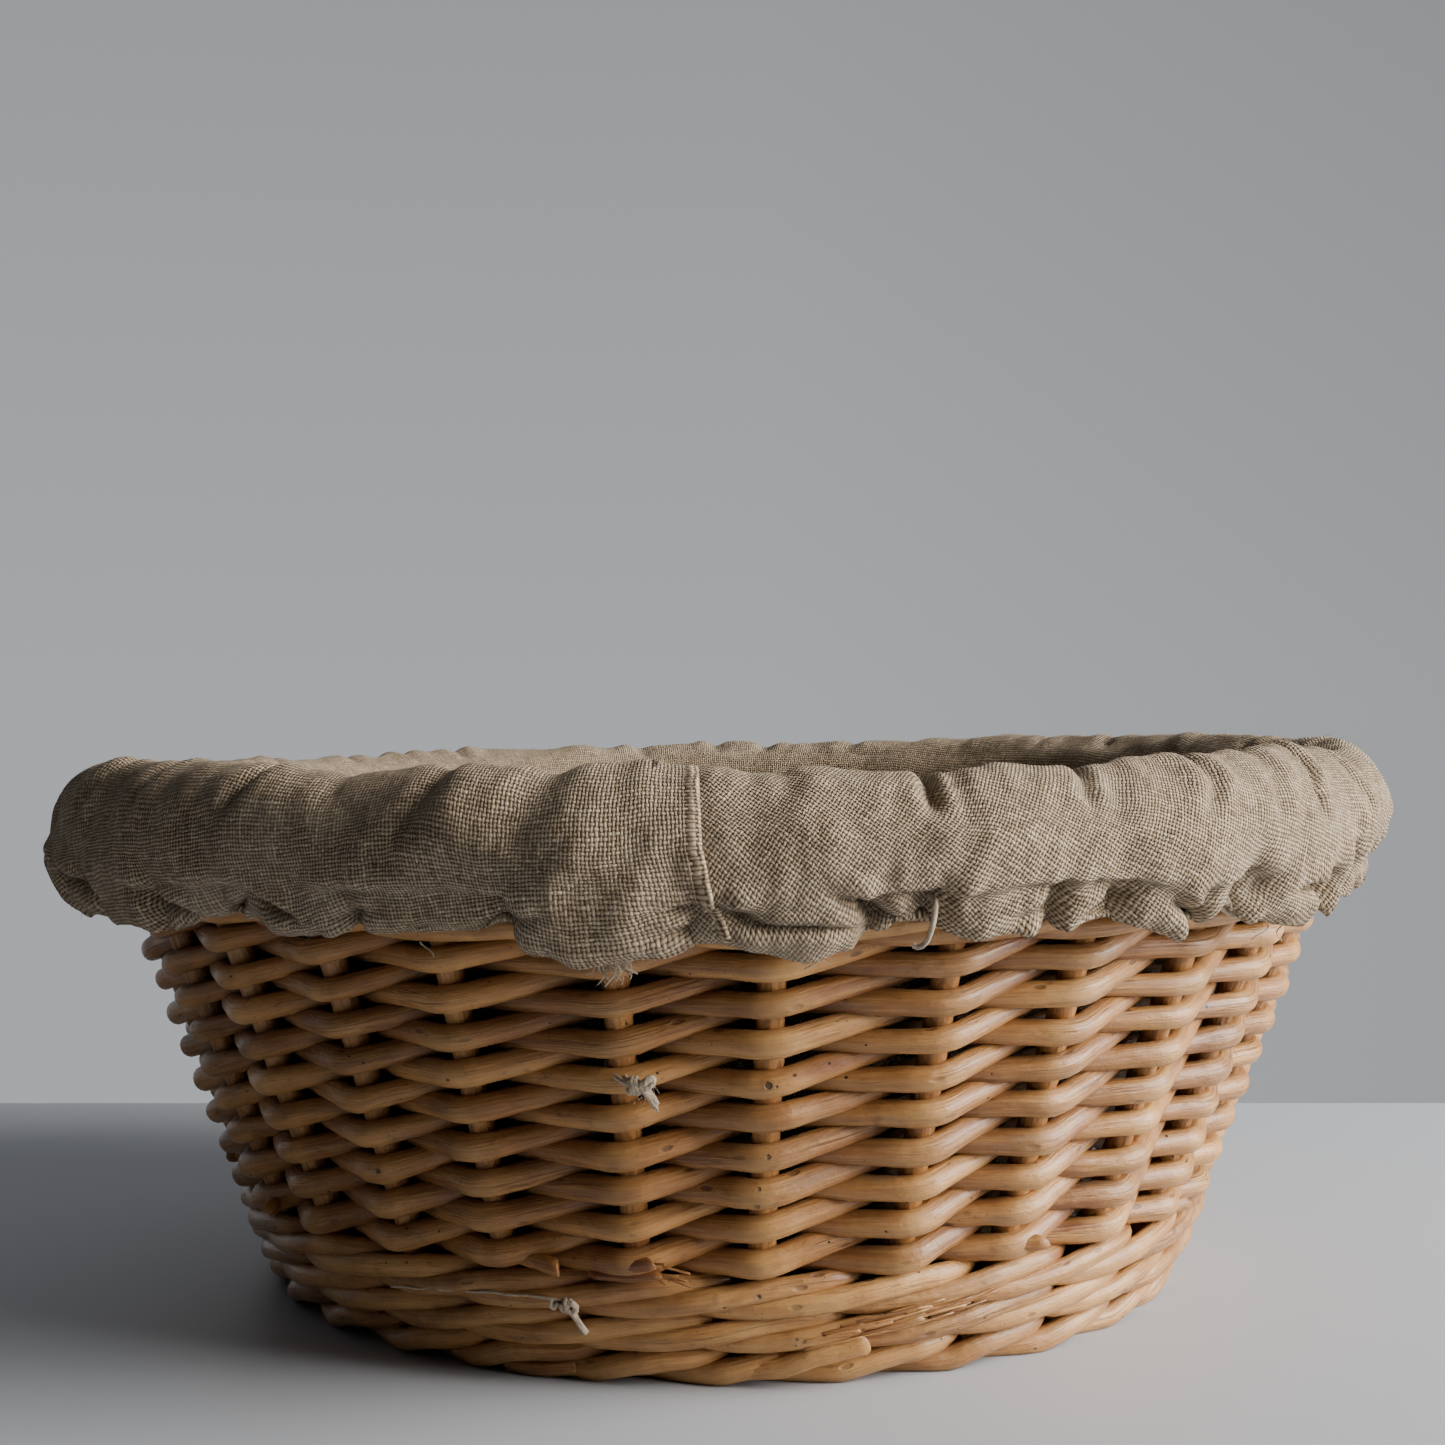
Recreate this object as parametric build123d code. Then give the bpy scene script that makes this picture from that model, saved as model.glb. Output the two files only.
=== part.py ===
from build123d import *
import math
import os

# Round willow proving basket (banneton) with a linen liner.
# Frame: millimetres, +Z up, z = 0 is the plane the foot stands on, the Z axis is
# the axis of the bowl. -Y is the front of the basket. Angles are measured from
# the front towards +X.

# ---- driving dimensions -------------------------------------------------------
RIM_R = 140.0            # outside radius of the linen roll round the rim
RIM_TOP = 109.0          # top of the linen roll
ROLL_BOTTOM = 78.5       # lower edge of the linen folded over the outside

WALL_R0 = 88.9           # radius of the stake line produced down to z = 0
WALL_LEAN = 0.384        # the wall leans out 21 degrees
STAKE_D = 4.4
STAKE_LEVEL = 4.95       # height at which the stakes turn up
STAKE_KINK_R = 5.0       # bend of a stake where it is pricked up
STAKE_TIP_R = 5.0        # bend of a stake into the border

ROD_D = 3.2              # weaving rods at the width left where two rods cross
WALE_D = 3.1
BEND_R = 14.0            # bend of a rod round a stake
PASS = 3.9               # rod centre to stake centre, inside or outside a stake
RAND_START = 20.2        # arc length up the stake line of the first inside pass
RAND_STEP = 3.57         # rise of a side weaver from one stake to the next
RAND_STROKES = 18

WALE_LEVELS = (1.0, 8.0, 15.0)   # lower stroke of the three bottom wales
WALE_STEP = 3.5                 # upper stroke above the lower one
WALE_BULGE = 1.1
TOP_WALE_LEVEL = 86.3

BORDER_LEVEL = 103.9     # arc length at which a stake turns into the border
BORDER_STEP = 4.8        # drop of a border stake from stake to stake
BORDER_PASS = 4.55

BASE_LEVEL = 7.0         # centre height of the base sticks
STICK_D = 6.0
STICK_REACH = 79.0
STICK_PITCH = 6.5
STICK_FLAT = 2.6         # thickness of a stick shaved to go through the slits
SLIT_H = 3.0
BASE_ROD_D = 2.9
BASE_PASS = 4.55
BASE_ROUND = 6.4         # one round of pairing, two rods side by side
BASE_TWIST = 1.6
BASE_START_R = 31.0

CLOTH = 1.2              # linen, two layers at the seams
FLOOR_LEVEL = 13.6       # underside of the linen floor
CORD_D = 1.3

# Angle of each stake at the wall. They stand in pairs, one each side of an end
# of a base stick, and a hand-made basket spaces them unevenly.
PAIR_CENTRE = -2.3
STAKE_DEG = [
    -8.5, 3.9, 18.2, 30.3, 43.6, 55.9, 68.9, 80.9, 94.3, 106.4, 120.4, 132.9,
    145.6, 157.8, 171.9, 184.2, 197.1, 209.0, 223.3, 235.4, 248.4, 260.6,
    274.9, 287.0, 299.9, 312.8, 325.6, 337.4,
]
N = len(STAKE_DEG)
STICK_ENDS = N // 2
STICK_TURN = 360.0 / STICK_ENDS


# ---- the stake line: a curve in the plane of radius and height ----------------
LEAN = math.atan(WALL_LEAN)
CORNER_R = WALL_R0 + WALL_LEAN * STAKE_LEVEL
KINK_TURN = math.pi / 2 - LEAN
KINK_RUN = STAKE_KINK_R * math.tan(KINK_TURN / 2)
KINK_ARC = STAKE_KINK_R * KINK_TURN


def stake_line(s, out=0.0):
    """Radius and height at arc length s, moved out from the line by out."""
    if s < 0:
        return CORNER_R - KINK_RUN + s, STAKE_LEVEL - out
    if s < KINK_ARC:
        a = s / STAKE_KINK_R
        reach = STAKE_KINK_R + out
        return (
            CORNER_R - KINK_RUN + reach * math.sin(a),
            STAKE_LEVEL + STAKE_KINK_R - reach * math.cos(a),
        )
    t = KINK_RUN + s - KINK_ARC
    return (
        CORNER_R + t * math.sin(LEAN) + out * math.cos(LEAN),
        STAKE_LEVEL + t * math.cos(LEAN) - out * math.sin(LEAN),
    )


def stake_angle(k):
    """Angle of stake k, counted on past a full turn."""
    return STAKE_DEG[k % N] + 360.0 * (k // N)


def at(angle, radius, height):
    t = math.radians(angle)
    return radius * math.sin(t), -radius * math.cos(t), height


def on_wall(angle, s, out):
    return at(angle, *stake_line(s, out))


# ---- rods: straight runs joined by tangent arcs -------------------------------
def bend_at(before, corner, after, bend):
    """Where the arc at a corner starts, passes its middle, and ends."""
    back, ahead = before - corner, after - corner
    run = 0.45 * min(back.length, ahead.length)
    back, ahead = back.normalized(), ahead.normalized()
    turn = math.pi - math.radians(back.get_angle(ahead))
    if turn < 0.004:
        return None
    run = min(bend * math.tan(turn / 2), run)
    radius = run / math.tan(turn / 2)
    inward = (back + ahead).normalized()
    top = corner + inward * radius * (1 / math.cos(turn / 2) - 1)
    return corner + back * run, top, corner + ahead * run


def rod(points, diameter, radii=None, bend=BEND_R):
    """A rod whose bends touch the points. radii gives the arc at a plain corner,
    which the rod cuts instead."""
    wanted = [Vector(*p) for p in points]
    radii = radii or {}
    corners = list(wanted)
    for _ in range(12):
        moved = list(corners)
        for i in range(1, len(corners) - 1):
            if i in radii:
                continue
            arc = bend_at(*corners[i - 1 : i + 2], bend)
            moved[i] = wanted[i] + (corners[i] - arc[1]) if arc else wanted[i]
        corners = moved
    edges, start = [], corners[0]
    for i in range(1, len(corners) - 1):
        arc = bend_at(*corners[i - 1 : i + 2], radii.get(i, bend))
        if arc:
            edges.append(Edge.make_line(start, arc[0]))
            edges.append(Edge.make_three_point_arc(*arc))
            start = arc[2]
    edges.append(Edge.make_line(start, corners[-1]))
    path = Wire(edges)
    section = Plane(origin=path @ 0, z_dir=path % 0) * Circle(diameter / 2)
    return sweep(section, path=path).solids()[0]


# ---- base: four slit sticks with three shaved sticks through them -------------
SLIT_LANES = (-1.5, -0.5, 0.5, 1.5)
THROUGH_LANES = (-1, 0, 1)


def base_stick(lane, through):
    y = lane * STICK_PITCH
    spread = math.radians(STICK_TURN * lane)
    crossed = len(SLIT_LANES if through else THROUGH_LANES) / 2 * STICK_PITCH
    bend = crossed + 3.25
    ends = [
        (-STICK_REACH * math.cos(spread), STICK_REACH * math.sin(spread)),
        (STICK_REACH * math.cos(spread), STICK_REACH * math.sin(spread)),
    ]
    if lane:
        line = [ends[0], (-bend, y), (bend, y), ends[1]]
        radii = {1: 20.0, 2: 20.0}
    else:
        line, radii = ends, None
    stick = rod([(x, v, 0) for x, v in line], STICK_D, radii)
    if through:
        for side in (1, -1):
            shave = Box(2 * (crossed + 0.6) + 3, 3 * STICK_D, STICK_D)
            stick -= Pos(0, y, side * (STICK_FLAT + STICK_D) / 2) * shave
    else:
        stick -= Pos(0, y, 0) * Box(2 * (crossed + 0.6), 3 * STICK_D, SLIT_H)
    stick = Pos(0, 0, BASE_LEVEL) * Rot(0, 0, 90 * through) * stick
    return Rot(0, 0, PAIR_CENTRE) * stick


# ---- base weave: pairing, two rods twisted round the sticks -------------------
def base_weaver(side, first, last):
    """A rod from stick step first to stick step last, STICK_ENDS steps to a round."""
    points = []
    for step in range(first, last + 1):
        angle = PAIR_CENTRE + STICK_TURN * step
        over = 1 if (step + side) % 2 else -1
        r = BASE_START_R + BASE_ROUND * step / STICK_ENDS
        # beside a stick the rod keeps its level, so that it clears the stakes
        # pushed in there
        hold = 10.0 if r > 70 else (8.0 if r > 53.5 else 3.0)
        level = BASE_LEVEL + over * BASE_PASS
        if hold:
            d = math.degrees(hold / r)
            if step > first:
                points.append(at(angle - d, r, level))
            if step < last:
                points.append(at(angle + d, r, level))
        else:
            points.append(at(angle, r, level))
        if step < last:
            middle = r + BASE_ROUND / 2 / STICK_ENDS + over * BASE_TWIST
            points.append(at(angle + STICK_TURN / 2, middle, BASE_LEVEL))
    return rod(points, BASE_ROD_D)


# ---- side stakes --------------------------------------------------------------
def stake(k):
    angle = stake_angle(k)
    stick = PAIR_CENTRE + STICK_TURN * (k // 2)
    side = 1 if k % 2 else -1
    beside = STICK_D / 2 + STAKE_D / 2 + 0.2

    def by_stick(r, across, height):
        t = math.radians(stick)
        x, y = side * across, -r
        return (
            x * math.cos(t) - y * math.sin(t),
            x * math.sin(t) + y * math.cos(t),
            height,
        )

    points = [by_stick(56, beside, BASE_LEVEL), by_stick(77, beside + 1.1, BASE_LEVEL)]
    points.append(at(angle, CORNER_R, STAKE_LEVEL))
    points.append(on_wall(angle, BORDER_LEVEL, 0))
    points.append(
        on_wall(stake_angle(k + 1), BORDER_LEVEL - BORDER_STEP, -BORDER_PASS)
    )
    points.append(
        on_wall(stake_angle(k + 2), BORDER_LEVEL - 2 * BORDER_STEP, BORDER_PASS)
    )
    ahead = 0.3 * (stake_angle(k + 3) - stake_angle(k + 2))
    points.append(
        on_wall(
            stake_angle(k + 2) + ahead,
            BORDER_LEVEL - 2.02 * BORDER_STEP,
            0.85 * BORDER_PASS,
        )
    )
    return rod(points, STAKE_D, {1: 40.0, 2: STAKE_KINK_R, 3: STAKE_TIP_R})


# ---- French rand: one weaver to a stake, in front of one and behind one -------
def side_weaver(j):
    points = []
    for m in range(RAND_STROKES + 1):
        out = PASS if m % 2 else -PASS
        points.append(on_wall(stake_angle(j + m), RAND_START + RAND_STEP * m, out))
    return rod(points, ROD_D)


# ---- three-rod wale: in front of two stakes and behind one --------------------
# Three rods do not come out even over 28 stakes, so a short fourth one fills the
# gap, as a maker pieces in a rod. Each starts and ends behind a stake.
WALE_RODS = ((0, 0, N - 1), (1, 0, N - 1), (2, 0, N - 1), (2, -3, 0))


def wale_rod(j, first, last, level, lift=0.0):
    """Strokes first to last of rod j. lift raises the inside passes, for the
    corner where the stakes come in."""
    upper, lower = level + WALE_STEP, level
    middle = (upper + lower) / 2
    points = []
    for m in range(first, last + 1):
        k = j + m
        here = stake_angle(k)
        stroke = m % 3
        if stroke == 0:
            if m == first:
                here += 0.7
            elif m == last:
                here -= 0.7
            points.append(on_wall(here, middle + lift, -PASS))
        elif stroke == 1:
            points.append(on_wall(here, lower, PASS))
        else:
            points.append(on_wall(here, upper, PASS))
        if m < last:
            # between two stakes: low coming out through the wall, bulged over
            # the other two rods in the middle of the stroke, high going in
            half = (stake_angle(k) + stake_angle(k + 1)) / 2
            s, out = ((lower, 0.0), (middle, PASS + WALE_BULGE), (upper, 0.0))[stroke]
            points.append(on_wall(half, s, out))
    return rod(points, WALE_D)


# ---- linen liner --------------------------------------------------------------
def liner_side(z):
    """Outer radius of the linen inside the wicker wall at height z."""
    return WALL_R0 + WALL_LEAN * z - 7.0 / math.cos(LEAN)


def liner_floor():
    return Pos(0, 0, FLOOR_LEVEL + CLOTH / 2) * Cylinder(
        liner_side(FLOOR_LEVEL) - 0.05, CLOTH
    )


def liner_band():
    thick = CLOTH / math.cos(LEAN)
    low, high = FLOOR_LEVEL + CLOTH, RIM_TOP - 7.5
    profile = [
        (liner_side(low) - thick, low),
        (liner_side(low), low),
        (liner_side(high), high),
        (122.6, RIM_TOP - 4.9),
        (127.8, RIM_TOP - 4.4),
        (132.0, RIM_TOP - 7.5),
        (132.6, RIM_TOP - 14.0),
        (131.6, ROLL_BOTTOM + 2.0),
        (133.2, ROLL_BOTTOM),
        (135.3, ROLL_BOTTOM + 1.0),
        (137.4, ROLL_BOTTOM + 6.5),
        (139.2, ROLL_BOTTOM + 12.5),
        (RIM_R, ROLL_BOTTOM + 18.5),
        (138.4, ROLL_BOTTOM + 25.0),
        (133.8, RIM_TOP - 1.2),
        (128.4, RIM_TOP),
        (122.8, RIM_TOP - 1.5),
        (liner_side(high) - thick - 0.2, high + 1.6),
    ]
    face = make_face(Polyline(*[(r, 0, z) for r, z in profile], close=True))
    return revolve(face, Axis.Z).solids()[0]


# ---- strings ------------------------------------------------------------------
def hem_drawstring():
    ring = Pos(0, 0, ROLL_BOTTOM + 2.2) * Torus(129.6, CORD_D / 2)
    tail = rod(
        [
            at(14.6, 129.6, ROLL_BOTTOM + 2.2),
            at(14.6, 130.3, ROLL_BOTTOM - 1.8),
            at(14.9, 130.2, ROLL_BOTTOM - 7.0),
        ],
        CORD_D,
        {1: 6.0},
    )
    return ring + tail


def tie(angle, s, lead):
    """A stitch that comes out between two rods beside a stake, and its knot."""
    points = [on_wall(angle, s - 0.2, -6.0)] if not lead else []
    points += [
        on_wall(angle, s + RAND_STEP * 0.05, -4.2),
        on_wall(angle, s + RAND_STEP * 0.95, 4.2),
        on_wall(angle + 0.2, s + RAND_STEP * 1.05, 7.0),
    ]
    knot = Pos(*on_wall(angle + 0.2, s + RAND_STEP * 1.05, 8.6)) * Sphere(2.5)
    return points, knot


def tie_upper():
    # beside the first stake, to its right
    k = 0
    m = 9
    s = RAND_START + RAND_STEP * m
    angle = stake_angle(k) + math.degrees(3.5 / stake_line(s)[0])
    points, knot = tie(angle, s + 0.45, False)
    return rod(points, CORD_D) + knot


def tie_lower():
    # lies along the outside of the bottom wales and is knotted over them
    s = 12.6
    out = PASS + ROD_D / 2 + CORD_D / 2 + 0.15
    angles = [-36.0, -31.5, -26.0, -20.8, -16.6]
    points = [on_wall(a, s + 0.25 * i, out + 0.35 * (i % 2)) for i, a in enumerate(angles)]
    knot = Pos(*on_wall(-15.4, s + 0.9, out + 1.7)) * Sphere(2.5)
    return rod(points, CORD_D) + knot


# ---- assembly -----------------------------------------------------------------
parts = {}
for i, lane in enumerate(SLIT_LANES):
    parts[f"base_stick_slit_{i + 1}"] = [base_stick(lane, False)]
parts["base_sticks_through"] = [base_stick(lane, True) for lane in THROUGH_LANES]

for name, first, last in (
    ("base_weave_inner", 0, 42),
    ("base_weave_middle", 43, 84),
    ("base_weave_outer", 85, 109),
):
    parts[name] = [base_weaver(side, first, last) for side in (0, 1)]

for i in range(N // 2):
    parts[f"stake_pair_{i + 1:02d}"] = [stake(2 * i), stake(2 * i + 1)]

for j in range(N):
    parts[f"side_weaver_{j + 1:02d}"] = [side_weaver(j)]

for name, level in zip(("foot_wale", "middle_wale", "upsett_wale"), WALE_LEVELS):
    lift = 1.5 if name == "foot_wale" else 0.0
    parts[name] = [wale_rod(*run, level, lift) for run in WALE_RODS]
# the lowest rods are rubbed flat where the basket stands on them
ground = Pos(0, 0, -5) * Box(220, 220, 10)
parts["foot_wale"] = [(s - ground).solids()[0] for s in parts["foot_wale"]]
parts["top_wale"] = [wale_rod(*run, TOP_WALE_LEVEL) for run in WALE_RODS]

parts["liner_floor"] = [liner_floor()]
parts["liner_band"] = [liner_band()]
parts["hem_drawstring"] = [hem_drawstring()]
parts["tie_upper"] = [tie_upper()]
parts["tie_lower"] = [tie_lower()]

os.makedirs("parts", exist_ok=True)
for name, solids in parts.items():
    shape = solids[0] if len(solids) == 1 else Compound(children=solids)
    export_step(shape, f"parts/{name}.step")
print(len(parts), "nodes,", sum(len(s) for s in parts.values()), "solids")
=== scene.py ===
import math

import bpy
import numpy as np
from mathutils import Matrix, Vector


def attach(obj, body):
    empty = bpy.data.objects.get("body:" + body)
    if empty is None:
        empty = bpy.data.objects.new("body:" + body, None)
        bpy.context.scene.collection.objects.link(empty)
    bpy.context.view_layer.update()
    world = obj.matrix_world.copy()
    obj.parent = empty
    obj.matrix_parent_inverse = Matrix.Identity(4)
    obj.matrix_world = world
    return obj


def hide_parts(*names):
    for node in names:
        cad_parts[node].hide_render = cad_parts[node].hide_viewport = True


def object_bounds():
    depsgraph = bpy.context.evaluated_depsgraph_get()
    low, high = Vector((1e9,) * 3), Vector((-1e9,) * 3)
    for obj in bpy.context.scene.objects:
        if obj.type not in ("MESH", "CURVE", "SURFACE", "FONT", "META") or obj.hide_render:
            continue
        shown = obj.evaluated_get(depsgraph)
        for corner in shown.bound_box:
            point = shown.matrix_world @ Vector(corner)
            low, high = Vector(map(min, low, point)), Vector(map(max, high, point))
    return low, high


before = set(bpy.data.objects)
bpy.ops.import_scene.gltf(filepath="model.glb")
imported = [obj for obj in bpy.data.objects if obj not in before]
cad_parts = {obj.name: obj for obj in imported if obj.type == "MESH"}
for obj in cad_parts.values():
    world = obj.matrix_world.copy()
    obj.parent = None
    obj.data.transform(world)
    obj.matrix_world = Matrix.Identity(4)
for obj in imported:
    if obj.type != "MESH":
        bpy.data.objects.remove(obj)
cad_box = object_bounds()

MM = 0.001

# ---- the camera ---------------------------------------------------------------
low, high = (np.array(v) for v in cad_box)
axis_x, axis_y = (low[0] + high[0]) / 2, (low[1] + high[1]) / 2
cam = bpy.data.cameras.new("camera")
cam.sensor_width = 36.0
cam.lens = 53.56
cam.clip_start = 0.01
cam_object = bpy.data.objects.new("camera", cam)
cam_object.location = (axis_x, axis_y - 0.468, 0.118)
cam_object.rotation_euler = (math.radians(90 - 0.36), 0, 0)
bpy.context.scene.collection.objects.link(cam_object)
bpy.context.scene.camera = cam_object

# ---- the basket's dimensions, in millimetres ----------------------------------
WALL_R0, WALL_LEAN = 88.9, 0.384
STAKE_LEVEL, STAKE_KINK_R = 4.95, 5.0
STAKE_R = 2.42
STAKE_OUT = 0.9
ROD_R = 2.25
PASS = 4.2
RAND_START, RAND_STEP, RAND_STROKES = 20.2, 3.57, 18
WALE_LEVELS = (1.0, 8.0, 15.0)
WALE_STEP, TOP_WALE_LEVEL = 3.5, 86.3
BORDER_LEVEL, BORDER_STEP, BORDER_PASS = 103.9, 4.8, 4.55
BASE_LEVEL, STICK_D, BASE_PASS = 7.0, 6.0, 4.6
BASE_ROUND, BASE_START_R = 6.4, 31.0
PAIR_CENTRE = -2.3
STAKE_DEG = [
    -8.5, 3.9, 18.2, 30.3, 43.6, 55.9, 68.9, 80.9, 94.3, 106.4, 120.4, 132.9,
    145.6, 157.8, 171.9, 184.2, 197.1, 209.0, 223.3, 235.4, 248.4, 260.6,
    274.9, 287.0, 299.9, 312.8, 325.6, 337.4,
]
N = len(STAKE_DEG)
STICK_ENDS = N // 2
STICK_TURN = 360.0 / STICK_ENDS
WALE_RODS = ((0, 0, N - 1), (1, 0, N - 1), (2, 0, N - 1), (2, -3, 0))
STROKE = 25.0
LEAN = math.atan(WALL_LEAN)
CORNER_R = WALL_R0 + WALL_LEAN * STAKE_LEVEL
KINK_TURN = math.pi / 2 - LEAN
KINK_RUN = STAKE_KINK_R * math.tan(KINK_TURN / 2)
KINK_ARC = STAKE_KINK_R * KINK_TURN


def stake_angle(k):
    k = np.asarray(k)
    return np.array(STAKE_DEG)[k % N] + 360.0 * (k // N)


def angle_at(u):
    """Angle at a place counted in stakes, between stakes too."""
    u = np.asarray(u, float)
    k = np.floor(u).astype(int)
    f = u - k
    return stake_angle(k) * (1 - f) + stake_angle(k + 1) * f


def stake_line(s, out):
    """Radius, height, and outward normal (in radius, in height) at arc length s."""
    s, out = np.broadcast_arrays(np.asarray(s, float), np.asarray(out, float))
    a = np.clip(s / STAKE_KINK_R, 0, KINK_TURN)
    nr, nz = np.sin(a), -np.cos(a)
    r = CORNER_R - KINK_RUN + STAKE_KINK_R * np.sin(a) + np.minimum(s, 0)
    z = STAKE_LEVEL + STAKE_KINK_R * (1 - np.cos(a))
    up = np.maximum(s - KINK_ARC, 0)
    r = r + up * math.sin(LEAN)
    z = z + up * math.cos(LEAN)
    return r + out * nr, z + out * nz, nr, nz


def place(angle, r, z):
    t = np.radians(angle)
    return np.stack([r * np.sin(t), -r * np.cos(t), z + 0 * t], -1)


def wall_points(angle, s, out):
    """Points on the wall and the wall's outward normals there."""
    r, z, nr, nz = stake_line(s, out)
    return place(angle, r, z), place(angle, nr, nz)


def wobble(rng, x, scale, amount):
    """A smooth seeded wander along x."""
    total = np.zeros_like(x)
    for octave in range(3):
        f = 2 * math.pi / (scale / 1.9**octave)
        total += np.sin(f * x * rng.uniform(0.8, 1.2) + rng.uniform(0, 6.3)) / 1.6**octave
    return amount * total / 1.6


# ---- lattice noise, seeded, for cloth and rods --------------------------------
class Noise:
    def __init__(self, seed, size=64):
        rng = np.random.default_rng(seed)
        self.n = size
        self.g = rng.uniform(-1, 1, (size, size))

    def __call__(self, x, y, wrap_x=None):
        """Smooth noise from -1 to 1. wrap_x is the period in x, in cells."""
        x, y = np.broadcast_arrays(np.asarray(x, float), np.asarray(y, float))
        i, j = np.floor(x).astype(int), np.floor(y).astype(int)
        fx, fy = x - i, y - j
        fx, fy = fx * fx * fx * (fx * (fx * 6 - 15) + 10), fy * fy * fy * (fy * (fy * 6 - 15) + 10)
        w = wrap_x or self.n

        def at(a, b):
            return self.g[(a % w) % self.n, b % self.n]

        top = at(i, j) * (1 - fx) + at(i + 1, j) * fx
        bottom = at(i, j + 1) * (1 - fx) + at(i + 1, j + 1) * fx
        return top * (1 - fy) + bottom * fy


# ---- meshes -------------------------------------------------------------------
def new_piece(name, points, faces, material, attributes=(), smooth=True):
    mesh = bpy.data.meshes.new(name)
    points = np.asarray(points, float) * MM
    mesh.from_pydata(points.tolist(), [], [tuple(f) for f in faces])
    mesh.update()
    for key, kind, values in attributes:
        layer = mesh.attributes.new(key, kind, "POINT")
        field = "vector" if kind == "FLOAT_VECTOR" else "value"
        layer.data.foreach_set(field, np.asarray(values, np.float32).ravel())
    if smooth:
        mesh.polygons.foreach_set("use_smooth", [True] * len(mesh.polygons))
    mesh.materials.append(material)
    piece = bpy.data.objects.new(name, mesh)
    bpy.context.scene.collection.objects.link(piece)
    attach(piece, "root")
    return piece


class Tubes:
    """Rods or strings gathered into one mesh."""

    def __init__(self):
        self.points, self.faces, self.grain, self.tone, self.wear_and_shade = [], [], [], [], []
        self.count = 0

    def add(self, line, normal, across, along, tone=0.5, seed=0, sides=14, cut=(0.0, 0.0),
            nodes=True, lobes=0, twist=0.0, rough=0.012, worn_and_shaded=None):
        """line: centres in mm. normal: a rough outward direction at each. across and
        along: half sizes across the wall (outward) and along it (up)."""
        rng = np.random.default_rng(seed)
        line = np.asarray(line, float)
        n = len(line)
        tangent = np.gradient(line, axis=0)
        tangent /= np.linalg.norm(tangent, axis=1, keepdims=True)
        out = normal - (normal * tangent).sum(1, keepdims=True) * tangent
        out /= np.linalg.norm(out, axis=1, keepdims=True)
        up = np.cross(tangent, out)
        length = np.concatenate([[0], np.cumsum(np.linalg.norm(np.diff(line, axis=0), axis=1))])
        across = np.broadcast_to(across, n).astype(float)
        along = np.broadcast_to(along, n).astype(float)
        swell = 1 + wobble(rng, length, 60.0, 0.025) + wobble(rng, length, 13.0, rough)
        if nodes:
            at = rng.uniform(5, 25)
            while at < length[-1]:
                swell += rng.uniform(0.04, 0.10) * np.exp(-(((length - at) / rng.uniform(1.1, 2.0)) ** 2))
                at += rng.uniform(26, 48)
        phi = np.linspace(0, 2 * math.pi, sides, endpoint=False)
        flute = 1 + 0.018 * np.sin(2 * phi + rng.uniform(0, 6.3)) + 0.014 * np.sin(3 * phi + rng.uniform(0, 6.3))
        turn = phi[None, :] + (twist * length)[:, None]
        ring = np.ones((n, sides)) * flute[None, :]
        if lobes:
            ring *= 1 + 0.20 * np.abs(np.cos(lobes * turn / 2)) - 0.12
        ring *= swell[:, None]
        c, s_ = np.cos(phi)[None, :], np.sin(phi)[None, :]
        body = (
            line[:, None, :]
            + out[:, None, :] * (across[:, None] * c * ring)[..., None]
            + up[:, None, :] * (along[:, None] * s_ * ring)[..., None]
        )
        # a cut butt is sliced on a slant
        body[0] += tangent[0] * (cut[0] * np.cos(phi))[:, None]
        body[-1] += tangent[-1] * (cut[1] * np.cos(phi))[:, None]
        ends = []
        for i, sign in ((0, -1), (-1, 1)):
            middle = body[i].mean(0)
            rim = middle + (body[i] - middle) * 0.86 + tangent[i] * sign * 0.18 * along[i]
            ends.append((rim, middle + tangent[i] * sign * 0.22 * along[i]))
        first = self.count
        pts = [ends[0][1][None], ends[0][0], body.reshape(-1, 3), ends[1][0], ends[1][1][None]]
        offset = rng.uniform(0, 1000)
        lengths = np.concatenate([[length[0]], np.full(sides, length[0]), np.repeat(length, sides),
                                  np.full(sides, length[-1]), [length[-1]]])
        around = np.concatenate([[0.0], phi, np.tile(phi, n), phi, [0.0]])
        radius = float(np.mean(along))
        grain = np.stack([lengths + offset, radius * np.cos(around) + offset, radius * np.sin(around)], -1)
        pts = np.concatenate(pts)
        self.points.append(pts)
        self.grain.append(grain)
        self.tone.append(np.full(len(pts), tone))
        # per point: pale wear where the rod stands out, painted shade where it lies behind
        w = np.zeros(len(pts))
        if worn_and_shaded is not None:
            w[1 + sides : 1 + sides + n * sides] = np.repeat(worn_and_shaded, sides)
        self.wear_and_shade.append(w)
        self.count += len(pts)
        rows = [first + 1 + sides * i for i in range(n + 2)]
        f = self.faces
        for k in range(sides):
            j = (k + 1) % sides
            f.append((first, rows[0] + j, rows[0] + k))
            f.append((rows[-1] + k, rows[-1] + j, self.count - 1))
        a = np.arange(sides)
        b = (a + 1) % sides
        for r0, r1 in zip(rows[:-1], rows[1:]):
            f.extend(np.stack([r0 + a, r0 + b, r1 + b, r1 + a], -1).tolist())

    def piece(self, name, material, slot, *replaces):
        made = new_piece(
            name,
            np.concatenate(self.points),
            self.faces,
            material,
            [
                ("grain", "FLOAT_VECTOR", np.concatenate(self.grain)),
                ("tone", "FLOAT", np.concatenate(self.tone)),
                ("wear_and_shade", "FLOAT", np.concatenate(self.wear_and_shade)),
            ],
        )
        if replaces:
            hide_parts(*replaces)
        return made


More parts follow.
